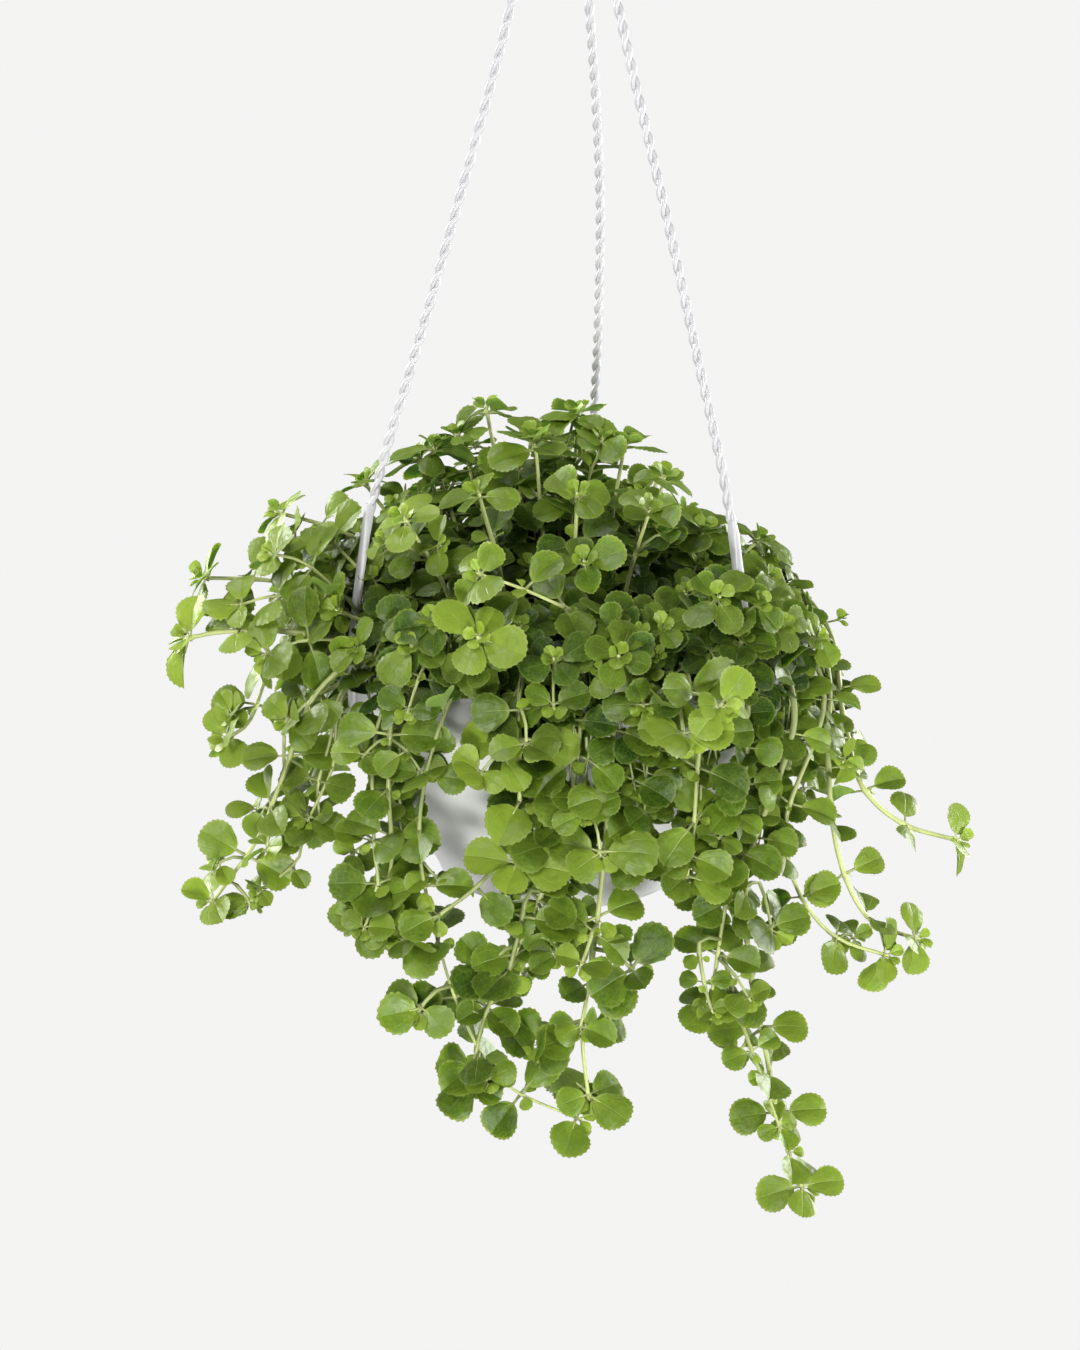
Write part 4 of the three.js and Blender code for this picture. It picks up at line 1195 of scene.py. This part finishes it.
def make_pot():
    """A turned profile: a foot with a recess, a rounded corner, the bulging wall, a band with
    rounded edges and a slightly thicker lip, and the inside wall and floor."""
    foot, band = -POT_HEIGHT, -BAND_HEIGHT
    edge = RIM_RADIUS - 0.15
    mouth = RIM_RADIUS - BAND_STEP
    outside = np.linspace(foot + CORNER_RADIUS, band - 0.6, 14)
    inside = outside[::-1]
    corner = np.radians(np.linspace(-80, -10, 5))
    corner_middle = BASE_RADIUS - CORNER_RADIUS
    floor = foot + WALL_THICKNESS
    profile = [(0, foot + 0.9), (30, foot + 0.9), (31, foot + 0.2), (31.6, foot), (36.8, foot)]
    profile += list(zip(
        corner_middle + CORNER_RADIUS * np.cos(corner),
        foot + CORNER_RADIUS + CORNER_RADIUS * np.sin(corner)))
    profile += list(zip(wall_radius(outside), outside))
    profile += [(edge - 1.4, band - 0.35), (edge - 0.5, band - 0.2), (edge, band + 0.4)]
    profile += [(edge - 0.1, band + 1.6), (edge - 0.35, band + 2.2), (edge - 0.3, -8)]
    profile += [(edge - 0.3, -3.4), (edge, -2.9), (edge, -0.9), (edge - 0.3, -0.3)]
    profile += [(edge - 1, 0), (edge - 2.2, 0), (mouth - 0.5, -0.3), (mouth - 0.7, -1)]
    profile += list(zip(wall_radius(inside) - WALL_THICKNESS, inside))
    profile += [(BASE_RADIUS - 3.6, floor), (0, floor)]
    surfaces = Surfaces()
    surfaces.add(*turned(profile, POT_SIDES))
    surfaces.make("pot_bowl", [pot_finish], ("pot",), sharp_angle=50)


def lumps(x, y, seed):
    """A sum of seven crossed sine waves, each shorter and lower than the last, from about -1
    to 1."""
    total = 0
    for k in range(7):
        turn = TURN * draw(seed, k)
        pitch = 0.11 * 1.55 ** k
        along = x * np.cos(turn) + y * np.sin(turn)
        total = total + np.sin(pitch * along + 9 * draw(seed, k + 20)) / (1 + 0.45 * k)
    return total / 2.2


def soil_rise(x, y):
    """How far the soil's surface is raised there."""
    return 1.1 * lumps(x, y, 5)


def make_soil():
    """A turned solid inside the pot, whose top is raised by crossed waves, and crumbs on it."""
    inset = WALL_THICKNESS + GAP + 0.3
    heights = np.linspace(-POT_HEIGHT + 3.4, -17, 6)
    profile = [(0, -POT_HEIGHT + 2.2), (36, -POT_HEIGHT + 2.2)]
    profile += list(zip(wall_radius(heights) - inset, heights))
    outer = RIM_RADIUS - BAND_STEP - 1.6
    profile += [(outer - 0.4, SOIL_TOP - 1.5)]
    profile += [(radius, SOIL_TOP) for radius in np.linspace(outer - 0.8, 1.5, 44)] + [(0, SOIL_TOP)]
    points, faces = turned(profile, SOIL_SIDES)
    raised = points[:, 2] > SOIL_TOP - 0.1
    points[raised, 2] += soil_rise(points[raised, 0], points[raised, 1]) - 0.4
    surfaces = Surfaces()
    surfaces.add(points, faces)
    add_crumbs(surfaces)
    surfaces.make("soil_bed", [soil_finish], ("soil",))


def add_crumbs(surfaces):
    """Small eight-faced crumbs with uneven corners, strewn by the golden angle."""
    corners = np.array([(1, 0, 0), (0, 1, 0), (-1, 0, 0), (0, -1, 0), (0, 0, 1), (0, 0, -1)], float)
    faces = np.array([
        (0, 1, 4), (1, 2, 4), (2, 3, 4), (3, 0, 4), (1, 0, 5), (2, 1, 5), (3, 2, 5), (0, 3, 5)])
    number = np.arange(CRUMBS)
    radius = CRUMB_SPREAD * np.sqrt((number + 0.5) / CRUMBS)
    angle = number * GOLDEN_ANGLE
    rough = np.random.default_rng(11)
    size = rough.uniform(0.5, 1.7, (CRUMBS, 1, 1)) * rough.uniform(0.6, 1.3, (CRUMBS, 6, 1))
    x, y = radius * np.cos(angle), radius * np.sin(angle)
    z = SOIL_TOP + soil_rise(x, y) + 0.1
    points = corners[None] * size * (1, 1, 0.7) + np.stack((x, y, z), 1)[:, None, :]
    surfaces.add(points.reshape(-1, 3), [(faces[None] + (number * 6)[:, None, None]).reshape(-1, 3)])


# The hanger.

def arm_frame(azimuth):
    """The level directions outwards on that azimuth and to its side."""
    out = np.array([math.cos(math.radians(azimuth)), math.sin(math.radians(azimuth)), 0])
    return out, np.array([out[1], -out[0], 0])


def arm_points(azimuth, sway, bow):
    """The arm's route from hub to foot. Sway and bow are greatest half-way, on a half sine."""
    out, side = arm_frame(azimuth)
    points = []
    for radius, height in ARM_ROUTE:
        share = math.sin(math.pi * (height - ARM_FOOT) / (HUB_HEIGHT - 0.7 - ARM_FOOT))
        points.append(out * (radius + bow * share) + side * sway * share + UP * height)
    return points


def make_arm(name, azimuth, sway, bow):
    """Two strands that wind round the arm's route, centre + offset (reference cos a + side sin a)
    with a growing by a full turn each pitch, and a flat strap below them."""
    out, side = arm_frame(azimuth)
    route = Route(arm_points(azimuth, sway, bow))
    run = np.linspace(0, route.length, int(route.length / 0.8))
    directions = route.direction(run)
    references = carried(side, directions)
    across = np.cross(directions, references)
    surfaces = Surfaces()
    close = 1 - 0.55 * np.clip((run - route.length + 5) / 5, 0, 1)
    for start in (0, math.pi):
        turn = start + TURN * run / STRAND_PITCH
        wound = references * np.cos(turn)[:, None] + across * np.sin(turn)[:, None]
        centres = route.at(run) + wound * (STRAND_OFFSET * close)[:, None]
        ways = unit(np.gradient(centres, axis=0))
        radii = np.full(len(run), STRAND_RADIUS)
        surfaces.add(*tube(centres, ways, carried(out, ways), radii, STRAND_SIDES))
    add_strap(surfaces, out, side)
    surfaces.make(name + "_twist", [hanger_finish], (name,), sharp_angle=60)
    take_arm(route, out, side)
    if name == "hanger_arm_left":
        take_before_strap(out, side)
    take_strap(out, side)


def take_arm(route, out, side):
    """Takes the cells along an arm."""
    points = route.at(np.arange(0, route.length, 0.7))
    for reach in (-1.2, 0, 1.2):
        room.mark(points + out * reach, HANGER_NUMBER)
        room.mark(points + side * reach, HANGER_NUMBER)


def take_strap(out, side):
    """Takes the cells along a strap, over its whole width."""
    heights = np.arange(-18, ARM_FOOT, 0.7)
    radii = np.interp(heights, STRAP_HEIGHTS, STRAP_RADII)
    for reach in np.arange(-3, 3.1, 1):
        for depth in (-0.8, 0.8):
            points = out * (radii + depth)[:, None] + side * reach + UP * heights[:, None]
            room.mark(points, HANGER_NUMBER)


def take_before_strap(out, side):
    """Takes the cells between a strap and the front view, so that no leaf covers it."""
    ahead = np.arange(1.5, 34, 1.2)[:, None] * TO_FRONT
    for height in np.arange(6, ARM_FOOT + 6, 1.0):
        for reach in np.arange(-2.5, 2.6, 1.2):
            foot = out * np.interp(height, STRAP_HEIGHTS, STRAP_RADII) + side * reach
            room.mark(foot + UP * height + ahead, HANGER_NUMBER)


def rounded_oblong(sides):
    """Points (x, y) on |x|^4 + |y|^4 = 1."""
    turn = np.arange(sides) / sides * TURN
    over, deep = (np.sign(wave) * np.abs(wave) ** 0.5 for wave in (np.cos(turn), np.sin(turn)))
    return over, deep


def add_strap(surfaces, out, side):
    """A flat strap carried down from the strands, over the band and in under its lower edge.
    Its section is a rounded oblong |x/a|^4 + |y/b|^4 = 1, which widens into a barbed tab."""
    path = np.array(STRAP_ROUTE)
    fine = np.linspace(0, len(path) - 1, STRAP_STEPS)
    radius, height, wide, thick = (np.interp(fine, np.arange(len(path)), row) for row in path.T)
    centres = out * radius[:, None] + UP * height[:, None]
    ways = unit(np.gradient(centres, axis=0))
    normals = np.cross(ways, side)
    over, deep = rounded_oblong(STRAP_SIDES)
    rings = (centres[:, None, :] + side * (wide[:, None] * over)[:, :, None]
             + normals[:, None, :] * (thick[:, None] * deep)[:, :, None])
    points = np.concatenate((rings.reshape(-1, 3), centres[[0, -1]]))
    surfaces.add(points, closed_faces(len(centres), STRAP_SIDES))


def make_hub():
    """A turned disc with a rounded rim and a short neck, and the hook as a round bar on a
    smooth route: up from the neck, round the ring and out to a rounded tip."""
    surfaces = Surfaces()
    rim = np.radians(np.linspace(-90, 90, 9))
    profile = [(0, HUB_HEIGHT), (6, HUB_HEIGHT)]
    profile += list(zip(8.2 + 1.7 * np.cos(rim), HUB_HEIGHT + 1.9 + 1.8 * np.sin(rim)))
    profile += [(5, HUB_HEIGHT + 4.6), (3.4, HUB_HEIGHT + 5.4), (2.8, HUB_HEIGHT + 6.8), (0, HUB_HEIGHT + 7)]
    surfaces.add(*turned(profile, HUB_SIDES))
    turns = np.radians([248, 214, 180, 147, 114, 82, 50, 20, -14])
    ring = np.stack((HOOK_RADIUS * np.cos(turns), 0 * turns, HOOK_CENTRE + HOOK_RADIUS * np.sin(turns)), 1)
    start = [(0, 0, HUB_HEIGHT + 3), (0, 0, HOOK_CENTRE - 16)]
    route = Route([*start, *ring, (HOOK_RADIUS + 1.6, 0, HOOK_CENTRE - 6)])
    run = np.linspace(0, route.length, HOOK_STEPS)
    directions = route.direction(run)
    references = carried(np.array([0, 1.0, 0]), directions)
    tip = np.sqrt(np.clip(1 - ((run - route.length + 1.6) / 1.9).clip(0, 1) ** 2, 0.1, 1))
    surfaces.add(*tube(route.at(run), directions, references, HOOK_WIRE * tip, HOOK_SIDES))
    surfaces.make("hanger_hub_and_hook", [hanger_finish], ("hanger_hub",), sharp_angle=50)


# The plant.

def crown_points(tip, stem_top=SOIL_TOP):
    """A crown stem rises from a root nearer the middle and arches out to its tip."""
    x, y, z = tip
    away = math.hypot(x, y)
    root = min(0.62 * away, 50) / away
    middle = 0.35 + 0.65 * root
    rise = z - stem_top
    return [*rooted_at(x * root, y * root), (x * middle, y * middle, stem_top + 0.55 * rise), (x, y, z)]


def rooted_at(x, y):
    """The start of a stem there: its end in its hole, and a point just over the soil."""
    return [(x, y, SOIL_TOP - HOLE_DEPTH + GAP), (x, y, SOIL_TOP + 1.5)]


# The mass of the foliage seen from the front: its upper and lower outline by x. A point's
# apparent height is its height plus a third of its depth, because the view is from above.
OUTLINE_X = (-100, -85, -75, -60, -50, -30, 0, 15, 25, 35, 42, 55, 68, 78, 86, 96)
OUTLINE_TOP = (10, 26, 36, 46, 60, 72, 72, 66, 57, 49, 36, 30, 28, 10, -10, -46)
OUTLINE_LOW = (0, -14, -38, -60, -70, -85, -98, -102, -104, -104, -104, -100, -88, -72, -60, -48)
DEPTH_SHARE = 0.345
OUTLINE_REACH = 97
MOUND_HEIGHT = 64
MOUND_RADIUS = 106


def apparent(point):
    """The point's height as it is seen from the front."""
    return point[2] + DEPTH_SHARE * point[1]


def outline_at(x, row):
    """The height of the upper or the lower outline at x."""
    return float(np.interp(x, OUTLINE_X, row))


def before_bare_pot(point):
    """True in front of the patch of bare pot, left of the front middle."""
    x, y, z = point
    return -44 < x < -20 and y < -30 and -64 < z < -17


def clear_of_bare_pot(point):
    """True outside that patch, and on the right also below the upper outline."""
    over = point[0] > 0 and apparent(point) > outline_at(point[0], OUTLINE_TOP) + 2
    return not over and not before_bare_pot(point)


def in_outline(point):
    """True inside the outlines, and not in front of the patch of bare pot."""
    low, top = (outline_at(point[0], row) for row in (OUTLINE_LOW, OUTLINE_TOP))
    return abs(point[0]) < OUTLINE_REACH and low < apparent(point) < top and not before_bare_pot(point)


def full_height(x, y):
    """The height of the mound over the rim without its dip: it falls with the square of the
    distance from the middle and stays under the outline."""
    outline = np.interp(x, OUTLINE_X, OUTLINE_TOP) - DEPTH_SHARE * y - 4
    return np.minimum(MOUND_HEIGHT * (1 - (x * x + y * y) / MOUND_RADIUS ** 2), outline)


def mound_height(x, y):
    """The mound's height with its dip behind the front shoots, left of the middle."""
    dip = 46 * math.exp(-((x + 4) / 50) ** 2 - ((y + 38) / 20) ** 2)
    return max(float(full_height(x, y)) - dip, 4)


def stray_of(shoot):
    """How far the shoot's leaves stray from the light."""
    if shoot.piece in CROWN:
        return 0.9
    return 0.5 if shoot.piece else 0.95


def grow_by_order(shoots, most, confined=None):
    """The leaves of several shoots: all rosettes, then the pairs from the tips downwards."""
    for order in range(MOST_PAIRS + 1):
        for shoot in shoots:
            for distance, nth in shoot.nodes:
                if nth == order:
                    shoot.grow_node(distance, nth, most, confined, stray=stray_of(shoot))


def plant_main_stems():
    """The stems of the solids, each a piece that replaces its node."""
    shoots = {}
    for name, (tip, leaf, pairs) in CROWN.items():
        bright = BRIGHTNESS.get(name, 0.0)
        finer = TOP_FINER if name.startswith("crown_top") else CROWN_FINER
        shoots[name] = Shoot(
            len(shoots), crown_points(tip), leaf * finer, pairs, CROWN_SPACING, bright, piece=name)
    for name, (root, leaf, pairs, spacing, points) in REACHING.items():
        bright = BRIGHTNESS.get(name, 0.0)
        finer = 1.0 if name.startswith("left") else REACHING_FINER
        shoots[name] = Shoot(
            len(shoots), rooted_at(*root) + points, leaf * finer, pairs, spacing, bright,
            THICKER.get(name, 1.0), piece=name)
    grow_by_order(shoots.values(), MAIN_CROWDING)
    return shoots


def plant_added_shoots(stems):
    """The added shoots. One that starts low branches off the nearest main stem, and one that
    starts outside the rim is led over it first."""
    lines = np.concatenate([stem.route.line for stem in stems if stem.piece in REACHING])
    shoots = []
    for leaf, pairs, spacing, bright, points in ADDED_SHOOTS.values():
        x, y, z = points[0]
        away = math.hypot(x, y)
        out = np.array([x, y]) / away
        start = rooted_at(*(out * min(0.6 * away, 46)))
        if len(points) == 1:
            above = lines[lines[:, 2] > z + 7]
            start = above[np.argmin(np.linalg.norm(above - points[0], axis=1))]
            start = [start, 0.5 * (start + points[0]) + (0, 0, 2.5)]
        elif z < BRANCHES_BELOW:
            start = [lines[np.argmin(np.linalg.norm(lines - points[0], axis=1))]]
        elif away > RIM_RADIUS:
            turn = 72 if z < 10 else 66
            start = [*start, (*(out * turn), 10)]
            if z < -16:
                start.append((*(out * (away - 3)), -5))
        shoots.append(Shoot(
            ADDED_SEED + len(shoots), start + points, leaf, pairs, spacing, bright, 0.8, pale=(0.3, 0.5)))
    return shoots


def plant_crown_fill(count):
    """Shorter stems between the main ones, rooted by the golden angle over the soil and leaning
    outwards, with their tips a little under the mound's surface."""
    shoots = []
    for k in range(count):
        seed = FILL_SEED + k
        radius = 57 * math.sqrt((k + 0.5) / count)
        angle = k * GOLDEN_ANGLE + 0.3 * (draw(seed, 1) - 0.5)
        away = radius * (1.3 + 0.22 * draw(seed, 2)) + 3
        root = rooted_at(radius * math.cos(angle), radius * math.sin(angle))
        lean = angle + 0.35 * (draw(seed, 4) - 0.5)
        lowest = 0.6 if radius > 34 else 0.42
        x, y = away * math.cos(lean), away * math.sin(lean)
        height = mound_height(x, y)
        height *= lowest + (0.96 - lowest) * draw(seed, 3)
        if math.sin(lean) > 0 and abs(x) < 45:
            height *= 0.86
        half_way = 0.5 * (radius + away)
        middle = (half_way * math.cos(lean), half_way * math.sin(lean), 0.62 * height - 3)
        leaf = 9.5 + 4 * draw(seed, 5)
        bright = 0.6 * draw(seed, 7) if draw(seed, 6) > 0.72 else 0.0
        shoots.append(Shoot(seed, [*root, middle, (x, y, height)], leaf, 4, 10, bright, 0.5))
    return shoots


def plant_skirt(count):
    """Stems that come over the rim all round and hang down outside the pot."""
    shoots = []
    for k in range(count):
        seed = SKIRT_SEED + k
        angle = TURN * (k + 0.7 * (draw(seed, 1) - 0.5)) / count
        front = max(0.0, -math.sin(angle))
        fall = 14 + (34 + 34 * front) * draw(seed, 2)
        x, y = math.cos(angle), math.sin(angle)
        over = 9 + 9 * draw(seed, 3)
        out = 76 + 4 * draw(seed, 4) + 6 * front
        turn = 0.16 * (draw(seed, 5) - 0.5)
        end = np.array([math.cos(angle + turn), math.sin(angle + turn)])
        points = [*rooted_at(50 * x, 50 * y), (73 * x, 73 * y, over), (out * x, out * y, over * 0.5 - 6)]
        points += [(*(end * (out + 1)), -fall * 0.6), (*(end * (out - 2)), -fall)]
        leaf = 10.5 + 4 * draw(seed, 6)
        bright = 0.5 * draw(seed, 8) if draw(seed, 7) > 0.75 else 0.0
        if in_outline(points[-1]):
            shoots.append(Shoot(seed, points, leaf, 5, 13, bright, 0.5))
    return shoots


def mark_pot():
    """Takes the pot's own cells, so that no leaf lies in its wall."""
    angles = np.arange(0, TURN, 0.015)
    for height in np.arange(-POT_HEIGHT, 0.5, 1.0):
        outer = RIM_RADIUS
        if height <= -BAND_HEIGHT:
            outer = float(wall_radius(max(height, -POT_HEIGHT + CORNER_RADIUS)))
        for radius in (outer - 1.5, outer - 0.3, outer + 0.6):
            x, y = radius * np.cos(angles), radius * np.sin(angles)
            room.mark(np.stack((x, y, np.full(len(angles), height)), 1), POT_NUMBER)


# The studio, in metres.

PALE = (0.9, 0.9, 0.895)
ROOM_LIGHT = (0.16, 0.16, 0.16)
CAMERA_LENS = 85
CAMERA_FRAME = 36
CAMERA_PLACE = (0, -0.9597, 0.0405)
CAMERA_AIM = (-0.0076, -0.0048, -0.3039)
FLOOR_HEIGHT = -1.6
FLOOR_REACH = 30.0

# Lamps: place, size and power. All face the plant.
LAMPS = {
    "lamp_key": ((-0.5, -1.15, 0.6), 0.5, 11.5),
    "lamp_low": ((-0.15, -1.4, -0.6), 0.4, 14),
    "lamp_right": ((1.2, -0.8, -0.3), 0.5, 14),
    "lamp_top": ((-0.5, 0.3, 1.0), 0.5, 8),
    "lamp_back_left": ((-1.0, 0.6, 0.0), 0.6, 17),
    "lamp_back_right": ((1.0, 0.7, -0.2), 0.6, 16),
}
LAMPS_AIM = (0, 0, -0.3)


def face(thing, aim):
    """Turns a camera or a lamp towards a point, and puts it in the scene."""
    thing.rotation_euler = (Vector(aim) - thing.location).to_track_quat("-Z", "Y").to_euler()
    bpy.context.scene.collection.objects.link(thing)


def place_camera():
    """The camera in front of the plant, 19 degrees above level."""
    camera = bpy.data.objects.new("camera", bpy.data.cameras.new("camera"))
    camera.data.lens = CAMERA_LENS
    camera.data.sensor_width = CAMERA_FRAME
    camera.data.clip_end = 50
    camera.location = CAMERA_PLACE
    face(camera, CAMERA_AIM)
    bpy.context.scene.camera = camera


def add_lamp(name, place, size, power):
    """A round lamp that faces the plant."""
    lamp = bpy.data.objects.new(name, bpy.data.lights.new(name, "AREA"))
    lamp.data.shape = "DISK"
    lamp.data.size = size
    lamp.data.energy = power
    lamp.location = place
    face(lamp, LAMPS_AIM)


def light_studio():
    """A pale room: an even world, dim but for the camera, the key lamp at the upper left front,
    a low one before the pot, one at the right, one above and two behind the sides."""
    world = bpy.data.worlds.new("studio")
    world.use_nodes = True
    tree = world.node_tree
    seen = tree.nodes.new("ShaderNodeLightPath").outputs["Is Camera Ray"]
    colour = blend_colours(tree, seen, ROOM_LIGHT, PALE)
    tree.links.new(colour, tree.nodes["Background"].inputs[0])
    bpy.context.scene.world = world
    bpy.context.scene.view_settings.view_transform = "Standard"
    for name, (place, size, power) in LAMPS.items():
        add_lamp(name, place, size, power)


def lay_floor():
    """A pale even floor, which the plant isn't lit by."""
    mesh = bpy.data.meshes.new("floor")
    corners = [(-1, -1), (1, -1), (1, 1), (-1, 1)]
    mesh.from_pydata(
        [(FLOOR_REACH * x, FLOOR_REACH * y, FLOOR_HEIGHT) for x, y in corners], [], [(0, 1, 2, 3)])
    material, _, shader = new_finish("floor_pale", Roughness=1.0, Emission_Strength=1.0)
    shader.inputs["Base Color"].default_value = (0, 0, 0, 1)
    shader.inputs["Specular IOR Level"].default_value = 0
    shader.inputs["Emission Color"].default_value = (*PALE, 1)
    mesh.materials.append(material)
    floor = bpy.data.objects.new("floor", mesh)
    floor.visible_diffuse = False
    floor.visible_glossy = False
    bpy.context.scene.collection.objects.link(floor)


place_camera()
light_studio()
lay_floor()
make_pot()
make_soil()
make_hub()
mark_pot()
for arm_name, (azimuth, sway, bow) in ARMS.items():
    make_arm(arm_name, azimuth, sway, bow)

main_stems = plant_main_stems()
added = plant_added_shoots(main_stems.values())
for shoot in added:
    for distance, nth in shoot.nodes[::-1]:
        shoot.grow_node(distance, nth, ADDED_CROWDING, clear_of_bare_pot, stray=0.7)
for shoot in main_stems.values():
    shoot.grow_lower_pairs()
    shoot.grow_buds()
    shoot.grow_children(0.08 if shoot.piece in OPEN_STEMS else 0.5)
fill = plant_crown_fill(CROWN_FILL) + plant_skirt(SKIRT)
grow_by_order(fill, FILL_CROWDING, in_outline)
for shoot in fill:
    shoot.grow_buds()
fill = [shoot for shoot in fill if len(shoot.leaves) > 1]
for shoot in added:
    shoot.grow_buds()
fill += added
shade_leaves([*main_stems.values(), *fill])
for shoot_name, shoot in main_stems.items():
    make_leafy_piece(
        shoot_name + "_leaves", [shoot], BIG_FORM, (shoot_name,))
for number in range(FILL_PIECES):
    make_leafy_piece(f"fill_shoots_{number + 1:02d}", fill[number::FILL_PIECES], FILL_FORM)
